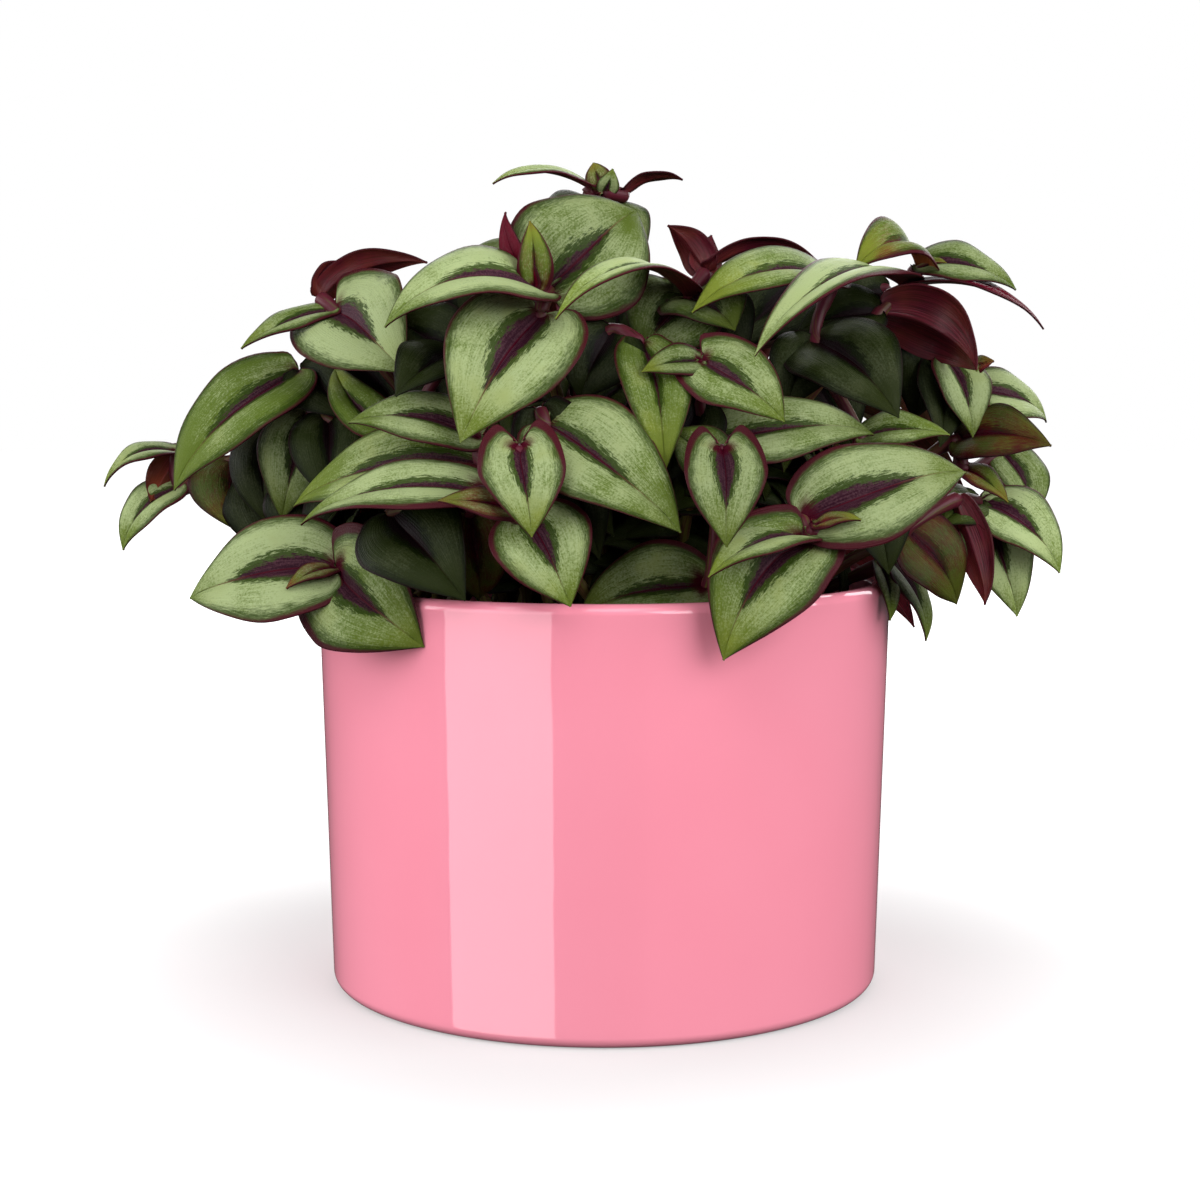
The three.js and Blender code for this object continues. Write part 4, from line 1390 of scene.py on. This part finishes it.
@dataclass
class Foliage:
    """All the leafy stems, as meshes."""

    grid: tuple[int, int] = (36, 20)
    inner_grid: tuple[int, int] = (20, 12)
    thick: float = 0.45
    inner_painted_shade: tuple[float, float] = (0.05, 0.6)
    chance_seed: int = 11
    leaf_seed_span: float = 10.0
    stem_seed_step: float = 1.7
    rounds: int = 12
    span_steps: int = 10
    sheath: float = 7.0
    sheath_thick: float = 0.55
    sheath_curve: float = 0.35
    redness: tuple[float, float] = (0.1, 0.65)
    map_length: float = 100.0
    rounding: float = 1.6
    upright: float = 0.99
    slack: float = 0.01
    face: LeafFace = field(default_factory=LeafFace)
    back: LeafBack = field(default_factory=LeafBack)
    skin: StemSkin = field(default_factory=StemSkin)

    def lay_blade(self, mesh: Mesh, leaf: Leaf, grid: tuple[int, int]) -> None:
        """Adds a leaf's blade to a mesh, as one sheet with its map and marks.

        Args:
            mesh: The mesh of the stem's leaves.
            leaf: The leaf.
            grid: How many rows and columns of faces it has.
        """
        marks = {name: mesh.verts.layers.float[name] for name in LEAF_MARKS}
        made = bmesh.ops.create_grid(mesh, x_segments=grid[0], y_segments=grid[1], size=1.0)["verts"]
        point = leaf.form()
        shares = {}
        for vert in made:
            along = eased((vert.co.x + 1) / 2)
            across = math.copysign(eased(min(1.0, abs(vert.co.y))), -vert.co.y)
            shares[vert] = (along, 0.5 + 0.5 * across)
            vert.co = point(along, across) * MM
            for name, layer in marks.items():
                vert[layer] = leaf.seed * self.leaf_seed_span if name == "seed" else getattr(leaf.look, name)
        lay_map(mesh, shares)

    def lay_leaves(self, name: str, leaves: list[Leaf], grid: tuple[int, int],
                   finishes: list[Material]) -> bpy.types.Object:
        """Makes a piece that holds some leaves.

        Args:
            name: What follows "leaves_" in its name.
            leaves: The leaves.
            grid: How many rows and columns of faces each has.
            finishes: The upper face's and the underside's materials.

        Returns:
            The piece.
        """
        mesh = marked_mesh(LEAF_MARKS)
        for leaf in leaves:
            self.lay_blade(mesh, leaf, grid)
        piece = shown(mesh, f"leaves_{name}", finishes)
        wall = piece.modifiers.new("thickness", "SOLIDIFY")
        wall.thickness = self.thick * MM
        wall.offset = 0.0
        wall.material_offset = 1
        return piece

    def lay_tube(self, mesh: Mesh, shoot: Shoot, seed: float) -> None:
        """Adds a stem to a mesh, with a sheath below each joint.

        Args:
            mesh: The mesh that takes it.
            shoot: The stem.
            seed: A number that sets its streaks apart from other stems'.
        """
        curve = shoot.curve()
        steps = self.span_steps * curve.spans
        centres = [curve.at(i / steps) for i in range(steps + 1)]
        runs = [0.0]
        for a, b in zip(centres, centres[1:]):
            runs.append(runs[-1] + (b - a).length)
        first_joint = curve.spans - len(shoot.joints) + 1
        joints = [runs[self.span_steps * k] for k in range(first_joint, curve.spans)]
        joints.append(runs[-1] - shoot.past)
        marks = {name: mesh.verts.layers.float[name] for name in STEM_MARKS}
        made = bmesh.ops.create_grid(mesh, x_segments=steps, y_segments=self.rounds, size=1.0)["verts"]
        shares = {}
        for vert in made:
            i = round((vert.co.x + 1) / 2 * steps)
            turn = math.pi * (vert.co.y + 1)
            heading = (centres[min(i + 1, steps)] - centres[max(i - 1, 0)]).normalized()
            first = heading.orthogonal() if abs(heading.z) > self.upright else heading.cross(UP)
            first.normalize()
            second = heading.cross(first)
            ahead = [joint - runs[i] for joint in joints if joint >= runs[i] - self.slack]
            below = min(ahead, default=self.sheath)
            wrapped = clamped(1 - below / self.sheath) ** self.sheath_curve
            radius = shoot.radius + self.sheath_thick * wrapped
            radius *= math.sqrt(clamped((runs[-1] - runs[i]) / self.rounding)) if i else 0.0
            shares[vert] = (runs[i] / self.map_length, (vert.co.y + 1) / 2)
            vert.co = (centres[i] + (first * math.cos(turn) + second * math.sin(turn)) * radius) * MM
            redness = self.redness[0] + self.redness[1] * i / steps
            for layer, value in zip(marks.values(), (seed, redness, wrapped)):
                vert[layer] = value
        lay_map(mesh, shares)
        bmesh.ops.remove_doubles(mesh, verts=made, dist=WELD)

    def stems(self, shoots: list[Shoot]) -> bpy.types.Object:
        """Makes the piece that holds all the bare stems.

        Args:
            shoots: The stems.

        Returns:
            The piece.
        """
        mesh = marked_mesh(STEM_MARKS)
        for number, shoot in enumerate(shoots):
            self.lay_tube(mesh, shoot, self.stem_seed_step * number)
        bmesh.ops.recalc_face_normals(mesh, faces=mesh.faces)
        return shown(mesh, "bare_stems", [self.skin.dress()])

    def inner_look(self, leaf: Leaf) -> LeafLook:
        """The look of a leaf inside the plant, with painted shade that is the darker the deeper it hangs."""
        return replace(Look.INNER.value, light=lerp(*self.inner_painted_shade, MOUND.level(leaf.base.z)))

    def outer(self, solids: SolidModel, finishes: list[Material], chance: random.Random) -> list[Shoot]:
        """Makes the leaves of the stems that the solids have, a piece for each stem.

        Args:
            solids: The solid model, which says how they are bent there.
            finishes: The leaves' materials.
            chance: What the leaves' small differences are drawn from.

        Returns:
            The stems.
        """
        draw = Draw(BACK_SEED)
        shoots = [front_shoot(plan) for plan in FRONT_SHOOTS]
        shoots += [shoot for ring in BACK_RINGS for shoot in ring.stems(draw)]
        for shoot in shoots:
            holder = solids.settle(shoot)
            for leaf in shoot.leaves:
                leaf.seed = chance.random()
                leaf.look = leaf.look.varied(chance)
            if not shoot.leaves:
                continue
            piece = self.lay_leaves(shoot.name, shoot.leaves, self.grid, finishes)
            if holder:
                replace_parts(piece, holder)
            LOG.info("%s: %d leaves, bowed %.0f, in %s", piece.name, len(shoot.leaves), shoot.aside, holder)
        return shoots

    def inner(self, finishes: list[Material], chance: random.Random) -> list[Shoot]:
        """Makes the leaves that fill the plant, darkened with painted shade, a piece for each group.

        Args:
            finishes: The leaves' materials.
            chance: What the leaves' small differences are drawn from.

        Returns:
            The stems that they grow on.
        """
        draw = Draw(INNER_SEED)
        groups = {plan.name: [front_shoot(plan)] for plan in FILLING_SHOOTS}
        groups |= {ring.name: ring.stems(draw) for ring in INNER_RINGS}
        for name, group in groups.items():
            for shoot in group:
                shoot.find_joints()
                for leaf in shoot.leaves:
                    leaf.seed = chance.random()
                    leaf.look = self.inner_look(leaf) if shoot.optional else leaf.look.varied(chance)
            leaves = [leaf for shoot in group for leaf in shoot.leaves]
            self.lay_leaves(name, leaves, self.inner_grid, finishes)
        return [shoot for group in groups.values() for shoot in group]

    def build(self) -> None:
        """Makes the leaves of every stem, and the stems."""
        nodes = {name: node for name, node in frame["nodes"].items() if name.startswith("stem_")}
        finishes = [self.face.dress(), self.back.dress()]
        chance = random.Random(self.chance_seed)
        shoots = self.outer(SolidModel(nodes), finishes, chance) + self.inner(finishes, chance)
        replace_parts(self.stems(shoots), *sorted(nodes))


# ---- Studio ------------------------------------------------------------------------------------------


@dataclass(frozen=True)
class SoftBox:
    """A soft box: the height it faces, how it hangs from there, its size in metres and its brightness."""

    name: str
    aim: float
    turned: float
    raised: float
    distance: float
    size: tuple[float, float]
    radiance: float

    def hang(self) -> None:
        """Hangs the box."""
        data = bpy.data.lights.new(self.name, "AREA")
        data.shape = "RECTANGLE"
        data.size, data.size_y = self.size
        data.energy = self.radiance * math.pi * self.size[0] * self.size[1]
        light = bpy.data.objects.new(self.name, data)
        away = facing(self.turned, self.raised)
        light.location = UP * self.aim + away * self.distance
        light.rotation_euler = away.to_track_quat("Z", "Y").to_euler()
        light.visible_camera = False
        bpy.context.collection.objects.link(light)


SOFT_BOXES = (
    SoftBox("side_box", 0.05, -41.8, 0.0, 1.5, (1.2, 1.9), 2.95),
    SoftBox("right_box", 0.14, 56.0, 24.0, 1.6, (2.2, 1.0), 5.2),
    SoftBox("left_box", 0.14, -93.0, 18.0, 1.6, (1.6, 0.9), 4.1),
    SoftBox("key_box", 0.14, -18.0, 58.0, 1.5, (1.3, 1.0), 2.6),
    SoftBox("back_box", 0.14, 168.0, 24.0, 1.6, (2.2, 1.0), 3.5),
)


@dataclass
class Studio:
    """A pale floor, a white surround and soft lights."""

    floor_size: float = 8.0
    floor_shade: Colour = (0.4, 0.4, 0.4)
    floor_roughness: float = 0.9
    floor_glows_and_painted_shade: tuple[tuple[float, ...], ...] = ((0.07, 0.2, 0.36, 0.76), (0.2, 0.9, 0.0, 0.3))
    surround: float = 0.07

    def floor_finish(self) -> Material:
        """Makes the floor's finish, which glows brighter the farther it is from the pot, so that it paints a
        soft shade round the pot's foot.

        Returns:
            Its material.
        """
        brush = Brush("pale_floor")
        away = brush.node("VectorMath", brush.place(), operation="LENGTH").outputs["Value"]
        # Painted shade: the floor glows less near the pot, which darkens it round the foot.
        glow = brush.plus(*(brush.fade(away, *glow) for glow in self.floor_glows_and_painted_shade))
        return brush.coat(Base_Color=self.floor_shade, Roughness=self.floor_roughness, Specular_IOR_Level=0.0,
                          Emission_Color=WHITE, Emission_Strength=glow)

    def lay_floor(self) -> None:
        """Makes the floor."""
        mesh = bmesh.new()
        bmesh.ops.create_grid(mesh, x_segments=1, y_segments=1, size=self.floor_size / 2)
        data = bpy.data.meshes.new("floor")
        mesh.to_mesh(data)
        mesh.free()
        data.materials.append(self.floor_finish())
        floor = bpy.data.objects.new("floor", data)
        bpy.context.collection.objects.link(floor)
        floor.visible_glossy = False
        floor.visible_diffuse = False
        floor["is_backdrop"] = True

    def surround_with_white(self) -> None:
        """Makes the world white where the camera sees it, and dimmer where it lights the plant."""
        world = bpy.data.worlds.new("surround")
        bpy.context.scene.world = world
        world.use_nodes = True
        nodes, links = world.node_tree.nodes, world.node_tree.links
        bright = nodes.new("ShaderNodeMapRange")
        links.new(nodes.new("ShaderNodeLightPath").outputs["Is Camera Ray"], bright.inputs["Value"])
        bright.inputs["To Min"].default_value = self.surround
        bright.inputs["To Max"].default_value = 1.0
        back = nodes["Background"]
        back.inputs["Color"].default_value = (*WHITE, 1.0)
        links.new(bright.outputs[0], back.inputs["Strength"])

    def build(self) -> None:
        """Makes the floor, the surround and the lights."""
        self.lay_floor()
        self.surround_with_white()
        for box in SOFT_BOXES:
            box.hang()
        bpy.context.scene.view_settings.view_transform = "Standard"


def main() -> None:
    """Builds the potted plant and its studio."""
    logging.basicConfig(level=logging.INFO, format="%(name)s: %(message)s")
    VIEW.set_camera()
    for part in (Pot(), Soil(), Foliage(), Studio()):
        part.build()
    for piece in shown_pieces():
        LOG.info("%s: %d faces", piece.name, len(piece.data.polygons))


if __name__ == "__main__":
    main()
